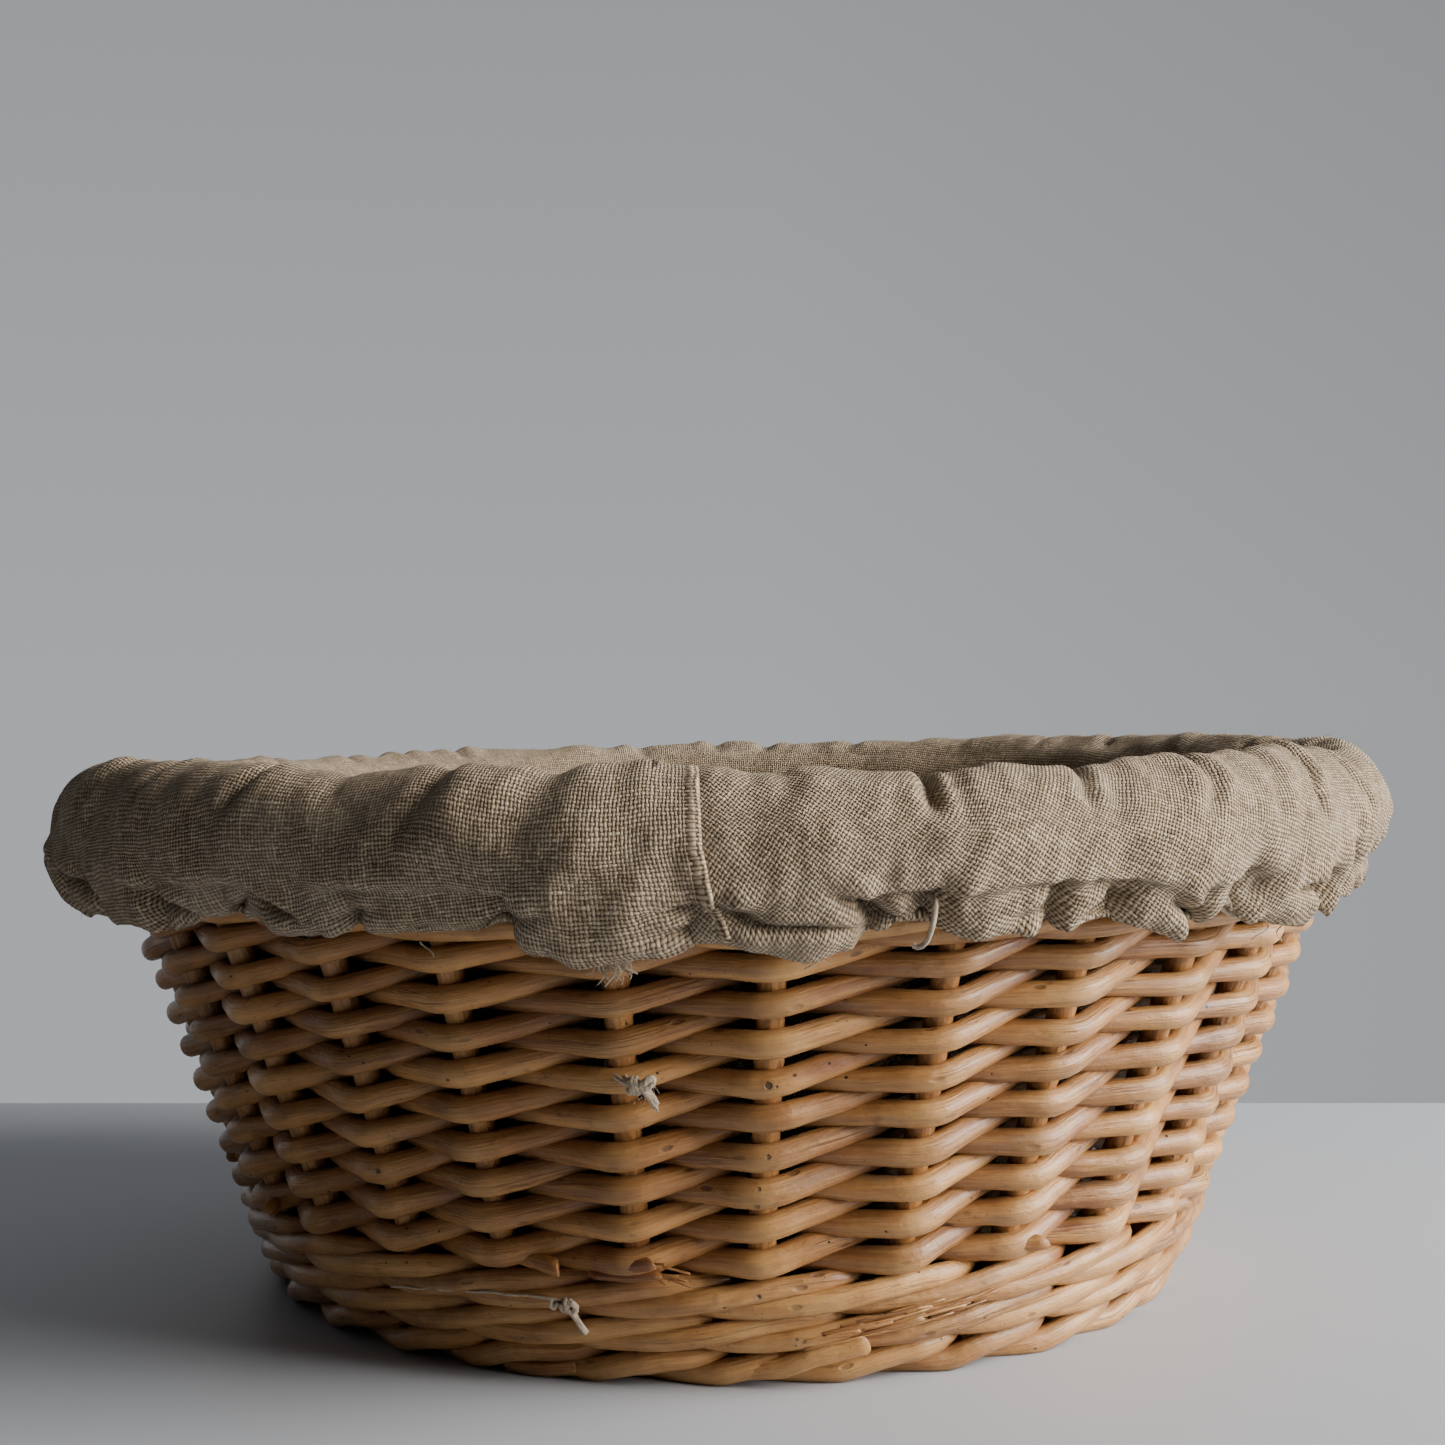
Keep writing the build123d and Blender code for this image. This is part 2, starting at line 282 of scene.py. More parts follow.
# ---- materials ----------------------------------------------------------------
class Nodes:
    """A short way to write a node tree."""

    def __init__(self, name):
        self.material = bpy.data.materials.new(name)
        self.material.use_nodes = True
        self.tree = self.material.node_tree
        self.shader = self.tree.nodes["Principled BSDF"]

    def link(self, value, socket):
        if isinstance(value, bpy.types.NodeSocket):
            self.tree.links.new(value, socket)
        else:
            socket.default_value = value

    def node(self, kind, **settings):
        made = self.tree.nodes.new(kind)
        for key, value in settings.items():
            setattr(made, key, value)
        return made

    def math(self, op, a, b=0.0, c=0.0, clamp=False):
        made = self.node("ShaderNodeMath", operation=op, use_clamp=clamp)
        for value, socket in zip((a, b, c), made.inputs):
            self.link(value, socket)
        return made.outputs[0]

    def attribute(self, name, out="Fac"):
        return self.node("ShaderNodeAttribute", attribute_name=name).outputs[out]

    def scaled(self, vector, scale):
        made = self.node("ShaderNodeVectorMath", operation="MULTIPLY")
        self.link(vector, made.inputs[0])
        made.inputs[1].default_value = scale
        return made.outputs[0]

    def noise(self, vector, scale=1.0, detail=4.0, rough=0.55, distortion=0.0):
        made = self.node("ShaderNodeTexNoise", noise_dimensions="3D")
        self.link(vector, made.inputs["Vector"])
        made.inputs["Scale"].default_value = scale
        made.inputs["Detail"].default_value = detail
        made.inputs["Roughness"].default_value = rough
        made.inputs["Distortion"].default_value = distortion
        return made.outputs["Fac"]

    def cells(self, vector, scale, out="Distance", feature="F1"):
        made = self.node("ShaderNodeTexVoronoi", feature=feature)
        self.link(vector, made.inputs["Vector"])
        made.inputs["Scale"].default_value = scale
        return made.outputs[out]

    def ramp(self, value, stops, interpolation="LINEAR"):
        made = self.node("ShaderNodeValToRGB")
        made.color_ramp.interpolation = interpolation
        elements = made.color_ramp.elements
        while len(elements) < len(stops):
            elements.new(0.5)
        for element, (at, colour) in zip(elements, stops):
            element.position = at
            element.color = (*colour, 1.0) if hasattr(colour, "__len__") else (colour,) * 3 + (1.0,)
        self.link(value, made.inputs["Fac"])
        return made.outputs["Color"]

    def range(self, value, a, b, c=0.0, d=1.0):
        made = self.node("ShaderNodeMapRange", interpolation_type="SMOOTHSTEP")
        self.link(value, made.inputs["Value"])
        for key, v in (("From Min", a), ("From Max", b), ("To Min", c), ("To Max", d)):
            made.inputs[key].default_value = v
        return made.outputs["Result"]

    def mix(self, factor, a, b, blend="MIX"):
        made = self.node("ShaderNodeMix", data_type="RGBA", blend_type=blend)
        self.link(factor, made.inputs["Factor"])
        ins = [s for s in made.inputs if s.type == "RGBA"]
        for value, socket in zip((a, b), ins):
            if hasattr(value, "__len__") and not isinstance(value, bpy.types.NodeSocket):
                value = (*value, 1.0)
            self.link(value, socket)
        return [s for s in made.outputs if s.type == "RGBA"][0]

    def bump(self, height, strength, distance, normal=None):
        made = self.node("ShaderNodeBump")
        made.inputs["Strength"].default_value = strength
        made.inputs["Distance"].default_value = distance
        self.link(height, made.inputs["Height"])
        if normal is not None:
            self.link(normal, made.inputs["Normal"])
        return made.outputs["Normal"]


def willow(name, light=1.0, use_attributes=True, marks=()):
    """Peeled willow, browned with age: fibres along the rod, bud scars, bark left in
    places, rubbed flats, painted shade in the laps, beetle holes painted near black as shade."""
    m = Nodes(name)
    where = m.scaled(m.node("ShaderNodeTexCoord").outputs["Object"], (1000, 1000, 1000))
    if use_attributes:
        grain = m.attribute("grain", "Vector")
        tone = m.attribute("tone")
        wear_and_shade = m.attribute("wear_and_shade")
    else:
        grain = where
        tone = m.noise(grain, 0.02, 1.0)
        wear_and_shade = 0.0
    fibre = m.noise(m.scaled(grain, (0.045, 0.9, 0.9)), 1.6, 6.0, 0.62)
    streak = m.noise(m.scaled(grain, (0.02, 0.35, 0.35)), 1.0, 4.0, 0.6, 0.4)
    patch = m.noise(m.scaled(grain, (0.05, 0.12, 0.12)), 1.0, 4.0, 0.6)
    cloud = m.noise(m.scaled(where, (0.11, 0.11, 0.11)), 1.0, 4.0, 0.6)
    fine = m.noise(m.scaled(grain, (0.30, 3.2, 3.2)), 1.0, 3.0, 0.6)
    amount = m.math("ADD", m.math("MULTIPLY", tone, 0.40), m.math("MULTIPLY", patch, 0.45))
    amount = m.math("ADD", amount, m.math("MULTIPLY", cloud, 0.30))
    base = m.ramp(
        amount,
        [
            (0.26, (0.150 * light, 0.051 * light, 0.013 * light)),
            (0.46, (0.275 * light, 0.108 * light, 0.028 * light)),
            (0.64, (0.410 * light, 0.182 * light, 0.050 * light)),
            (0.86, (0.570 * light, 0.286 * light, 0.090 * light)),
        ],
    )
    colour = m.mix(m.range(streak, 0.44, 0.70, 0.0, 0.62), base, (0.190, 0.074, 0.023))
    colour = m.mix(m.range(fibre, 0.40, 0.70, 0.0, 0.40), colour, (0.62, 0.335, 0.112))
    colour = m.mix(m.range(fine, 0.52, 0.76, 0.0, 0.42), colour, (0.140, 0.056, 0.020))
    # reddish inner bark that the peeling left
    bark = m.noise(m.scaled(grain, (0.020, 0.10, 0.10)), 1.0, 4.0, 0.65, 0.6)
    colour = m.mix(m.range(bark, 0.61, 0.70, 0.0, 0.65), colour, (0.165, 0.052, 0.016))
    for (x, y, z), size, strength in marks and marks[1]:
        away = m.node("ShaderNodeVectorMath", operation="DISTANCE")
        m.link(where, away.inputs[0])
        away.inputs[1].default_value = (x, y, z)
        near = m.math("MULTIPLY", m.range(away.outputs["Value"], size * 0.4, size, 1.0, 0.0), m.range(streak, 0.36, 0.5))
        colour = m.mix(m.math("MULTIPLY", near, strength), colour, (0.215, 0.066, 0.022))
    # grey weathering
    grey = m.noise(m.scaled(grain, (0.035, 0.14, 0.14)), 1.3, 5.0, 0.65)
    colour = m.mix(m.range(grey, 0.58, 0.74, 0.0, 0.52), colour, (0.265, 0.195, 0.130))
    # long dark checks
    check = m.noise(m.scaled(grain, (0.016, 0.75, 0.75)), 1.0, 3.0, 0.5, 0.2)
    crack = m.math("MULTIPLY", m.range(m.math("ABSOLUTE", m.math("SUBTRACT", check, 0.5)), 0.0, 0.014, 1.0, 0.0),
                   m.range(m.noise(m.scaled(grain, (0.02, 0.05, 0.05)), 1.0, 2.0), 0.50, 0.58))
    colour = m.mix(m.math("MULTIPLY", crack, 0.42), colour, (0.07, 0.028, 0.011))
    # bruises where it was bent, bud scars and beetle holes
    bruise = m.noise(m.scaled(where, (0.30, 0.30, 0.45)), 1.0, 4.0, 0.65)
    colour = m.mix(m.range(bruise, 0.58, 0.72, 0.0, 0.58), colour, (0.115, 0.050, 0.021))
    spot = m.cells(m.scaled(grain, (0.085, 0.20, 0.20)), 1.0)
    scar = m.range(spot, 0.06, 0.13, 1.0, 0.0)
    colour = m.mix(m.math("MULTIPLY", scar, 0.75), colour, (0.115, 0.045, 0.018))
    pin = m.cells(m.scaled(grain, (0.20, 0.26, 0.26)), 1.0)
    some = m.range(m.noise(m.scaled(grain, (0.02, 0.02, 0.02)), 1.0, 2.0), 0.50, 0.56)
    hole = m.math("MULTIPLY", m.range(pin, 0.05, 0.075, 1.0, 0.0), some)
    speck = m.range(m.cells(m.scaled(where, (0.42, 0.42, 0.42)), 1.0), 0.07, 0.12, 1.0, 0.0)
    colour = m.mix(m.math("MULTIPLY", speck, 0.55), colour, (0.11, 0.050, 0.022))
    if marks:
        nearest = None
        for x, y, z, r in marks[0]:
            away = m.node("ShaderNodeVectorMath", operation="DISTANCE")
            m.link(where, away.inputs[0])
            away.inputs[1].default_value = (x, y, z)
            reach = m.math("DIVIDE", away.outputs["Value"], r)
            nearest = reach if nearest is None else m.math("MINIMUM", nearest, reach)
        ragged = m.math("ADD", nearest, m.math("MULTIPLY", m.math("SUBTRACT", m.noise(where, 1.6, 3.0), 0.5), 0.7))
        colour = m.mix(m.range(ragged, 0.9, 1.9, 0.45, 0.0), colour, (0.16, 0.07, 0.03))
        bored = m.range(ragged, 0.72, 1.0, 1.0, 0.0)
        hole = m.math("MAXIMUM", hole, bored)
    # holes painted near black: painted shade inside the holes
    colour = m.mix(hole, colour, (0.010, 0.006, 0.003))
    # pale wear on the outer faces; painted shade where the rods lie behind one another
    if use_attributes:
        colour = m.mix(m.math("MULTIPLY", m.range(wear_and_shade, 0.1, 1.0), m.range(cloud, 0.35, 0.65, 0.10, 0.42)), colour, (0.72, 0.425, 0.160))
        colour = m.mix(m.range(wear_and_shade, 0.1, -0.9, 0.0, 0.80), colour, (0.070, 0.030, 0.012))
    m.link(colour, m.shader.inputs["Base Color"])
    gloss = m.noise(m.scaled(grain, (0.06, 0.3, 0.3)), 1.0, 4.0)
    m.link(m.math("MAXIMUM", m.range(gloss, 0.3, 0.75, 0.32, 0.56), hole), m.shader.inputs["Roughness"])
    m.shader.inputs["Coat Weight"].default_value = 0.25
    m.shader.inputs["Coat Roughness"].default_value = 0.20
    m.shader.inputs["Specular IOR Level"].default_value = 0.45
    height = m.math("ADD", m.math("MULTIPLY", fibre, 0.8), m.math("MULTIPLY", fine, 0.5))
    height = m.math("ADD", height, m.math("MULTIPLY", bruise, 0.9))
    height = m.math("SUBTRACT", height, m.math("MULTIPLY", crack, 0.5))
    height = m.math("SUBTRACT", height, m.math("MULTIPLY", scar, 0.6))
    height = m.math("SUBTRACT", height, m.math("MULTIPLY", hole, 4.0))
    m.link(m.bump(height, 0.8, 0.00045), m.shader.inputs["Normal"])
    return m.material


def linen(name):
    """Natural plain-weave linen, 16 threads to the centimetre, slubby and used."""
    m = Nodes(name)
    cloth = m.attribute("cloth", "Vector")
    # threads wander
    drift = m.node("ShaderNodeTexNoise", noise_dimensions="3D")
    m.link(cloth, drift.inputs["Vector"])
    drift.inputs["Scale"].default_value = 0.28
    drift.inputs["Detail"].default_value = 3.0
    pull = m.node("ShaderNodeVectorMath", operation="MULTIPLY_ADD")
    m.link(drift.outputs["Color"], pull.inputs[0])
    pull.inputs[1].default_value = (0.75, 0.75, 0.0)
    m.link(cloth, pull.inputs[2])
    split = m.node("ShaderNodeSeparateXYZ")
    m.link(m.scaled(pull.outputs[0], (1 / 0.62, 1 / 0.64, 1.0)), split.inputs[0])
    x, y = split.outputs[0], split.outputs[1]

    def thread(across, along):
        """Height of one set of threads: round across, riding over and under."""
        index = m.math("FLOOR", across)
        inside = m.math("SUBTRACT", m.math("SUBTRACT", across, index), 0.5)
        round_ = m.math("SUBTRACT", 1.0, m.math("MULTIPLY", m.math("MULTIPLY", inside, inside), 3.6))
        phase = m.math("MULTIPLY", m.math("ADD", along, index), math.pi)
        ride = m.math("MULTIPLY_ADD", m.math("COSINE", phase), 0.5, 0.5)
        return m.math("MULTIPLY", round_, m.math("MULTIPLY_ADD", ride, 0.62, 0.38)), index

    warp, warp_no = thread(x, m.math("ADD", y, 0.5))
    weft, weft_no = thread(y, m.math("ADD", x, 1.5))
    over = m.math("GREATER_THAN", warp, weft)
    height = m.math("MAXIMUM", warp, weft)
    # each thread has its own thickness and shade, changing along it
    def own(number, along, seed):
        place_ = m.node("ShaderNodeCombineXYZ")
        m.link(m.math("MULTIPLY", number, 3.17), place_.inputs[0])
        m.link(m.math("MULTIPLY", along, 0.15), place_.inputs[1])
        place_.inputs[2].default_value = seed
        return m.noise(place_.outputs[0], 1.0, 3.0, 0.6)

    warp_own, weft_own = own(warp_no, y, 3.0), own(weft_no, x, 11.0)
    shade = m.node("ShaderNodeMix", data_type="FLOAT")
    m.link(over, shade.inputs["Factor"])
    m.link(weft_own, shade.inputs[2])
    m.link(warp_own, shade.inputs[3])
    shade = shade.outputs[0]
    fibre = m.noise(m.scaled(cloth, (9.0, 9.0, 9.0)), 1.0, 3.0, 0.7)
    height = m.math("ADD", height, m.math("MULTIPLY", m.math("SUBTRACT", shade, 0.5), 0.9))
    height = m.math("ADD", height, m.math("MULTIPLY", fibre, 0.22))
    colour = m.ramp(
        shade,
        [(0.15, (0.215, 0.146, 0.084)), (0.42, (0.385, 0.284, 0.178)), (0.60, (0.490, 0.376, 0.247)), (0.92, (0.690, 0.555, 0.393))],
    )
    # painted shade in the gaps between the threads
    gap_shade = m.range(height, 0.36, 0.98, 1.0, 0.0)
    colour = m.mix(m.math("MULTIPLY", gap_shade, 0.95), colour, (0.048, 0.028, 0.014))
    # painted highlight on the thread crests
    colour = m.mix(m.range(height, 0.95, 1.25, 0.0, 0.55), colour, (0.78, 0.655, 0.49))
    colour = m.mix(m.range(fibre, 0.55, 0.75, 0.0, 0.35), colour, (0.56, 0.475, 0.355))
    # use: brown stains and specks, paler rubbed places
    stain = m.noise(m.scaled(cloth, (0.030, 0.030, 0.030)), 1.0, 5.0, 0.6, 0.5)
    colour = m.mix(m.range(stain, 0.55, 0.72, 0.0, 0.40), colour, (0.215, 0.130, 0.070))
    pale = m.noise(m.scaled(cloth, (0.022, 0.022, 0.022)), 1.4, 4.0, 0.55)
    colour = m.mix(m.range(pale, 0.48, 0.72, 0.0, 0.30), colour, (0.50, 0.415, 0.305))
    speck = m.range(m.cells(m.scaled(cloth, (0.22, 0.22, 0.22)), 1.0), 0.045, 0.075, 1.0, 0.0)
    colour = m.mix(m.math("MULTIPLY", speck, 0.6), colour, (0.15, 0.075, 0.035))
    # darker in the creases, tucks, hollows and round the floor's edge: painted shade
    deep = m.attribute("fold_shade")
    colour = m.mix(m.range(deep, 0.0, 1.0, 0.0, 0.55), colour, (0.105, 0.075, 0.046))
    m.link(colour, m.shader.inputs["Base Color"])
    m.shader.inputs["Roughness"].default_value = 0.92
    m.shader.inputs["Specular IOR Level"].default_value = 0.18
    m.shader.inputs["Sheen Weight"].default_value = 0.10
    m.shader.inputs["Sheen Roughness"].default_value = 0.45
    m.link(m.bump(height, 1.0, 0.00052), m.shader.inputs["Normal"])
    return m.material


def string_material(name):
    m = Nodes(name)
    grain = m.attribute("grain", "Vector")
    fibre = m.noise(m.scaled(grain, (0.9, 2.6, 2.6)), 1.0, 4.0, 0.65)
    dirt = m.noise(m.scaled(grain, (0.09, 0.2, 0.2)), 1.0, 3.0, 0.6)
    colour = m.ramp(fibre, [(0.3, (0.290, 0.220, 0.145)), (0.5, (0.500, 0.405, 0.290)), (0.72, (0.700, 0.595, 0.450))])
    colour = m.mix(m.range(dirt, 0.45, 0.7, 0.0, 0.6), colour, (0.260, 0.185, 0.115))
    m.link(colour, m.shader.inputs["Base Color"])
    m.shader.inputs["Roughness"].default_value = 0.9
    m.shader.inputs["Sheen Weight"].default_value = 0.08
    m.link(m.bump(fibre, 0.8, 0.0003), m.shader.inputs["Normal"])
    return m.material


def s_at(z, out=0.0):
    """How far up the stakes a point is whose height is z when it stands out this far."""
    return (z - STAKE_LEVEL) / math.cos(LEAN) - KINK_RUN + KINK_ARC + out * math.tan(LEAN)


def on_front(angle, z, out):
    """A point on the outer face of the wicker, in millimetres."""
    return wall_points(angle, s_at(z, out), out)[0]


HOLES = [
    (3.1, 57.4, 6.2, 0.62), (3.7, 56.4, 6.1, 0.70), (4.3, 56.3, 6.0, 0.42), (3.9, 43.6, 5.8, 0.60), (3.2, 37.6, 5.5, 0.45),
    (3.1, 34.9, 6.0, 0.66), (21.5, 80.2, 6.2, 0.50), (46.0, 76.8, 6.0, 0.5), (-35.0, 72.6, 6.0, 0.6), (-33.4, 37.0, 6.0, 0.55),
    (-33.6, 32.8, 6.0, 0.6), (3.9, 19.6, 6.6, 0.55), (3.5, 17.6, 6.6, 0.75), (21.0, 12.2, 6.6, 0.6), (2.0, 18.4, 6.6, 0.5),
    (-9.4, 31.6, 6.0, 0.45), (-10.2, 26.8, 6.0, 0.6), (-31.8, 24.6, 6.0, 0.8), (-22.4, 24.8, 6.2, 0.6), (27.0, 29.0, 6.2, 0.5),
    (88.0, 40.0, 6.0, 0.6), (112.0, 62.0, 6.0, 0.6), (155.0, 35.0, 6.0, 0.7), (185.0, 55.0, 6.0, 0.5), (244.0, 47.0, 6.0, 0.6), (-62.0, 50.0, 6.0, 0.6),
]
RED_PATCHES = [(-9.5, 21.5, 6.0, 9.0, 0.9), (-14.0, 15.0, 6.0, 6.0, 0.6), (38.0, 24.0, 6.0, 8.0, 0.7), (33.0, 45.0, 6.0, 7.0, 0.75), (150.0, 60.0, 6.0, 8.0, 0.7)]
MARKS = (
    [(*map(float, on_front(a, z, out)), r) for a, z, out, r in HOLES],
    [(tuple(map(float, on_front(a, z, out))), size, strength) for a, z, out, size, strength in RED_PATCHES],
)
WILLOW = willow("willow_rods", marks=MARKS)
STICKS = willow("willow_sticks", 0.92, use_attributes=False)
LINEN = linen("linen")
STRING = string_material("cotton_string")

for name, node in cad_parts.items():
    node.data.materials.clear()
    node.data.materials.append(STICKS)

# ---- side weavers: French rand ------------------------------------------------
STEPS = 14
SIDES = 16


def rand_wave(u):
    x = math.pi * u
    return -(np.cos(x) + 0.125 * np.cos(3 * x) + 0.032 * np.cos(5 * x)) / 1.157


for j in range(N):
    rng = np.random.default_rng(100 + j)
    u = np.linspace(-0.12, RAND_STROKES + 0.12, RAND_STROKES * STEPS + 1)
    taper = u / RAND_STROKES
    mm = u * STROKE
    wave = rand_wave(u)
    out = PASS * wave + wobble(rng, mm, 90.0, 0.18)
    s = RAND_START + RAND_STEP * u + wobble(rng, mm, 75.0, 0.30)
    angle = angle_at(j + u)
    line, normal = wall_points(angle, s, out)
    pinch = 1 - np.abs(np.cos(math.pi * u)) ** 0.8
    size = ROD_R * (1.11 - 0.13 * taper) * (1 + rng.uniform(-0.05, 0.05))
    tube = Tubes()
    worn_and_shaded = np.clip(wave, -1, 1)
    # bent round a stake the rod is crushed a little flat, and it creases there
    kink = np.exp(-((((u + 0.5) % 1.0 - 0.5) * STROKE / 2.6) ** 2))
    tube.add(line, normal, size * (0.98 - 0.02 * pinch - 0.05 * kink), size * (1 - 0.12 * pinch + 0.03 * kink),
             tone=rng.uniform(0.05, 1.0), seed=200 + j, sides=SIDES, worn_and_shaded=0.9 * worn_and_shaded - 0.1)
    tube.piece(f"weaver_{j + 1:02d}", WILLOW, "willow_rods", f"side_weaver_{j + 1:02d}")


# ---- three-rod wales ----------------------------------------------------------
def smooth_through(keys, per):
    """A smooth line through key rows, Catmull-Rom."""
    keys = np.asarray(keys, float)
    padded = np.vstack([2 * keys[0] - keys[1], keys, 2 * keys[-1] - keys[-2]])
    t = np.linspace(0, 1, per, endpoint=False)[:, None]
    rows = []
    for i in range(1, len(padded) - 2):
        a, b, c, d = padded[i - 1 : i + 3]
        rows.append(0.5 * (2 * b + (c - a) * t + (2 * a - 5 * b + 4 * c - d) * t**2 + (3 * b - a - 3 * c + d) * t**3))
    return np.vstack(rows + [keys[-1:]])


def wale_keys(j, first, last, level, lift, rng):
    upper, lower = level + WALE_STEP, level
    middle = (upper + lower) / 2
    keys = []
    for m in range(first, last + 1):
        stroke = m % 3
        u = float(j + m)
        if m in (first, last):
            u += 0.055 if m == first else -0.055
        s, o = ((middle + lift, -3.6), (lower, 4.2), (upper, 4.2))[stroke]
        keys.append((u, s + rng.uniform(-0.25, 0.25), o + rng.uniform(-0.15, 0.3)))
        if m < last:
            s, o = ((lower - 0.15, 2.3), (middle, 5.0), (upper + 0.15, 2.3))[stroke]
            keys.append((j + m + 0.5, s + rng.uniform(-0.2, 0.2), o + rng.uniform(-0.25, 0.25)))
    return keys


for name, level, lift, size in (
    ("foot_wale", WALE_LEVELS[0], 1.5, 1.12),
    ("middle_wale", WALE_LEVELS[1], 0.0, 1.0),
    ("upsett_wale", WALE_LEVELS[2], 0.0, 0.98),
    ("top_wale", TOP_WALE_LEVEL, 0.0, 0.92),
):
    for i, (j, first, last) in enumerate(WALE_RODS):
        rng = np.random.default_rng(400 + 10 * i + int(level))
        keys = smooth_through(wale_keys(j, first, last, level, lift, rng), STEPS // 2 + 1)
        u, s, o = keys.T
        line, normal = wall_points(angle_at(u), s, o)
        half = ROD_R * size * (1 + rng.uniform(-0.04, 0.04))
        if name == "foot_wale":
            line[:, 2] = np.maximum(line[:, 2], 1.92)
        tube = Tubes()
        tube.add(line, normal, half * 0.84, half * 0.93, tone=(0.85, 0.25, 0.6, 0.6)[i] + rng.uniform(-0.15, 0.15), seed=500 + 10 * i + int(level),
                 sides=SIDES, worn_and_shaded=np.clip((o - 1.2) / 3.0, -1, 1) * 0.8 - 0.05)
        replaces = (name,) if i == 0 else ()
        tube.piece(f"{name}_rod_{i + 1}", WILLOW, "willow_rods", *replaces)


# ---- stakes -------------------------------------------------------------------
def eased(points, sigma, step=0.8):
    """A polyline through the points with its corners eased."""
    points = np.asarray(points, float)
    seg = np.linalg.norm(np.diff(points, axis=0), axis=1)
    at = np.concatenate([[0], np.cumsum(seg)])
    n = max(int(at[-1] / step), 8)
    t = np.linspace(0, at[-1], n + 1)
    line = np.stack([np.interp(t, at, points[:, k]) for k in range(points.shape[1])], -1)
    w = int(3 * sigma / step)
    kernel = np.exp(-0.5 * (np.arange(-w, w + 1) * step / sigma) ** 2)
    kernel /= kernel.sum()
    head = 2 * line[0] - line[1 : w + 1][::-1]
    tail = 2 * line[-1] - line[-w - 1 : -1][::-1]
    longer = np.vstack([head, line, tail])
    return np.stack([np.convolve(longer[:, k], kernel, "valid") for k in range(points.shape[1])], -1)


def beside_stick(stick, side, r, across, height):
    t = math.radians(stick)
    x, y = side * across, -r
    return (x * math.cos(t) - y * math.sin(t), x * math.sin(t) + y * math.cos(t), height)


for pair in range(N // 2):
    tube = Tubes()
    for k in (2 * pair, 2 * pair + 1):
        rng = np.random.default_rng(700 + k)
        stick = PAIR_CENTRE + STICK_TURN * pair
        side = 1 if k % 2 else -1
        a = float(stake_angle(k))
        pts = [
            beside_stick(stick, side, 56, 5.4, BASE_LEVEL),
            beside_stick(stick, side, 77, 6.5, BASE_LEVEL),
            wall_points(a, -KINK_RUN * 0.0 + 0.0, 0)[0] + (place(a, KINK_RUN, 0.0)),
        ]
        for s in (22, 45, 70, 92):
            pts.append(wall_points(a, s, STAKE_OUT + wobble(rng, np.array([float(s)]), 60, 0.15)[0])[0])
        pts.append(wall_points(a, BORDER_LEVEL, 0.0)[0])
        pts.append(wall_points(float(stake_angle(k + 1)), BORDER_LEVEL - BORDER_STEP, -BORDER_PASS * 1.2)[0])
        pts.append(wall_points(float(stake_angle(k + 2)), BORDER_LEVEL - 2 * BORDER_STEP, BORDER_PASS * 1.15)[0])
        last = float(stake_angle(k + 2)) + 0.3 * float(stake_angle(k + 3) - stake_angle(k + 2))
        pts.append(wall_points(last, BORDER_LEVEL - 2.02 * BORDER_STEP, BORDER_PASS * 0.9)[0])
        line = eased([np.ravel(p) for p in pts], 2.4, 1.0)
        flat = line.copy()
        flat[:, 2] = 0
        normal = flat / np.linalg.norm(flat, axis=1, keepdims=True) + np.array([0, 0, -WALL_LEAN])
        # where the rod lies flat in the base its outside is underneath
        tube.add(line, normal, STAKE_R, STAKE_R, tone=rng.uniform(0.35, 0.9), seed=750 + k,
                 sides=SIDES, cut=(1.5, 1.2), worn_and_shaded=np.full(len(line), 0.1))
    tube.piece(f"stakes_{pair + 1:02d}", WILLOW, "peeled_willow", f"stake_pair_{pair + 1:02d}")

# ---- butts, splinters and one split rod ----------------------------------------
broken = Tubes()


def lay(angles, heights, outs, across, along, seed, tone, cut=(0.6, 0.6), n=14, sides=9, worn_and_shaded=0.2):
    a = np.interp(np.linspace(0, 1, n), np.linspace(0, 1, len(angles)), angles)
    z = np.interp(np.linspace(0, 1, n), np.linspace(0, 1, len(heights)), heights)
    o = np.interp(np.linspace(0, 1, n), np.linspace(0, 1, len(outs)), outs)
    s = s_at(z, o)
    line, normal = wall_points(a, s, o)
    broken.add(line, normal, across, along, tone=tone, seed=seed, sides=sides, cut=cut, worn_and_shaded=np.full(n, worn_and_shaded), nodes=False, rough=0.05)


# cut ends of side weavers, left lying on top of the wale
lay([-12.6, -9.0, -6.6], [22.4, 22.9, 23.9], [3.4, 5.6, 6.2], 1.0, 1.25, 8101, 0.55, (1.2, 0.9))
lay([-12.9, -9.0, -6.0], [20.6, 21.1, 21.7], [4.0, 5.8, 5.9], 0.9, 0.8, 8102, 0.15, (1.4, 0.7))
lay([-21.5, -18.0, -15.8], [23.0, 22.6, 22.2], [1.5, 4.6, 6.1], 1.5, 1.6, 8103, 0.35, (0.2, 1.2))
rng = np.random.default_rng(81)
for i in range(9):
    a0, z0 = rng.uniform(-7.4, -5.4), rng.uniform(21.2, 23.8)
    lay([a0, a0 + rng.uniform(0.6, 2.6)], [z0, z0 + rng.uniform(-1.4, 0.9)], [5.6, rng.uniform(5.6, 7.0)], 0.20, 0.26, 8110 + i,
        rng.uniform(0.2, 1.0), (0.1, 0.1), 5, 5)
for a0, z0 in ((32.6, 23.4), (58.0, 22.8), (84.0, 23.2), (126.0, 22.8), (158.0, 23.2), (203.0, 22.8), (232.0, 23.1), (276.0, 22.8), (305.0, 23.0)):
    lay([a0 - 6.0, a0 - 2.5, a0], [z0 - 0.6, z0 - 0.2, z0 + 0.3], [1.2, 4.4, 6.2], 1.4, 1.5, 8200 + int(a0), rng.uniform(0.2, 0.8), (0.2, 1.3))
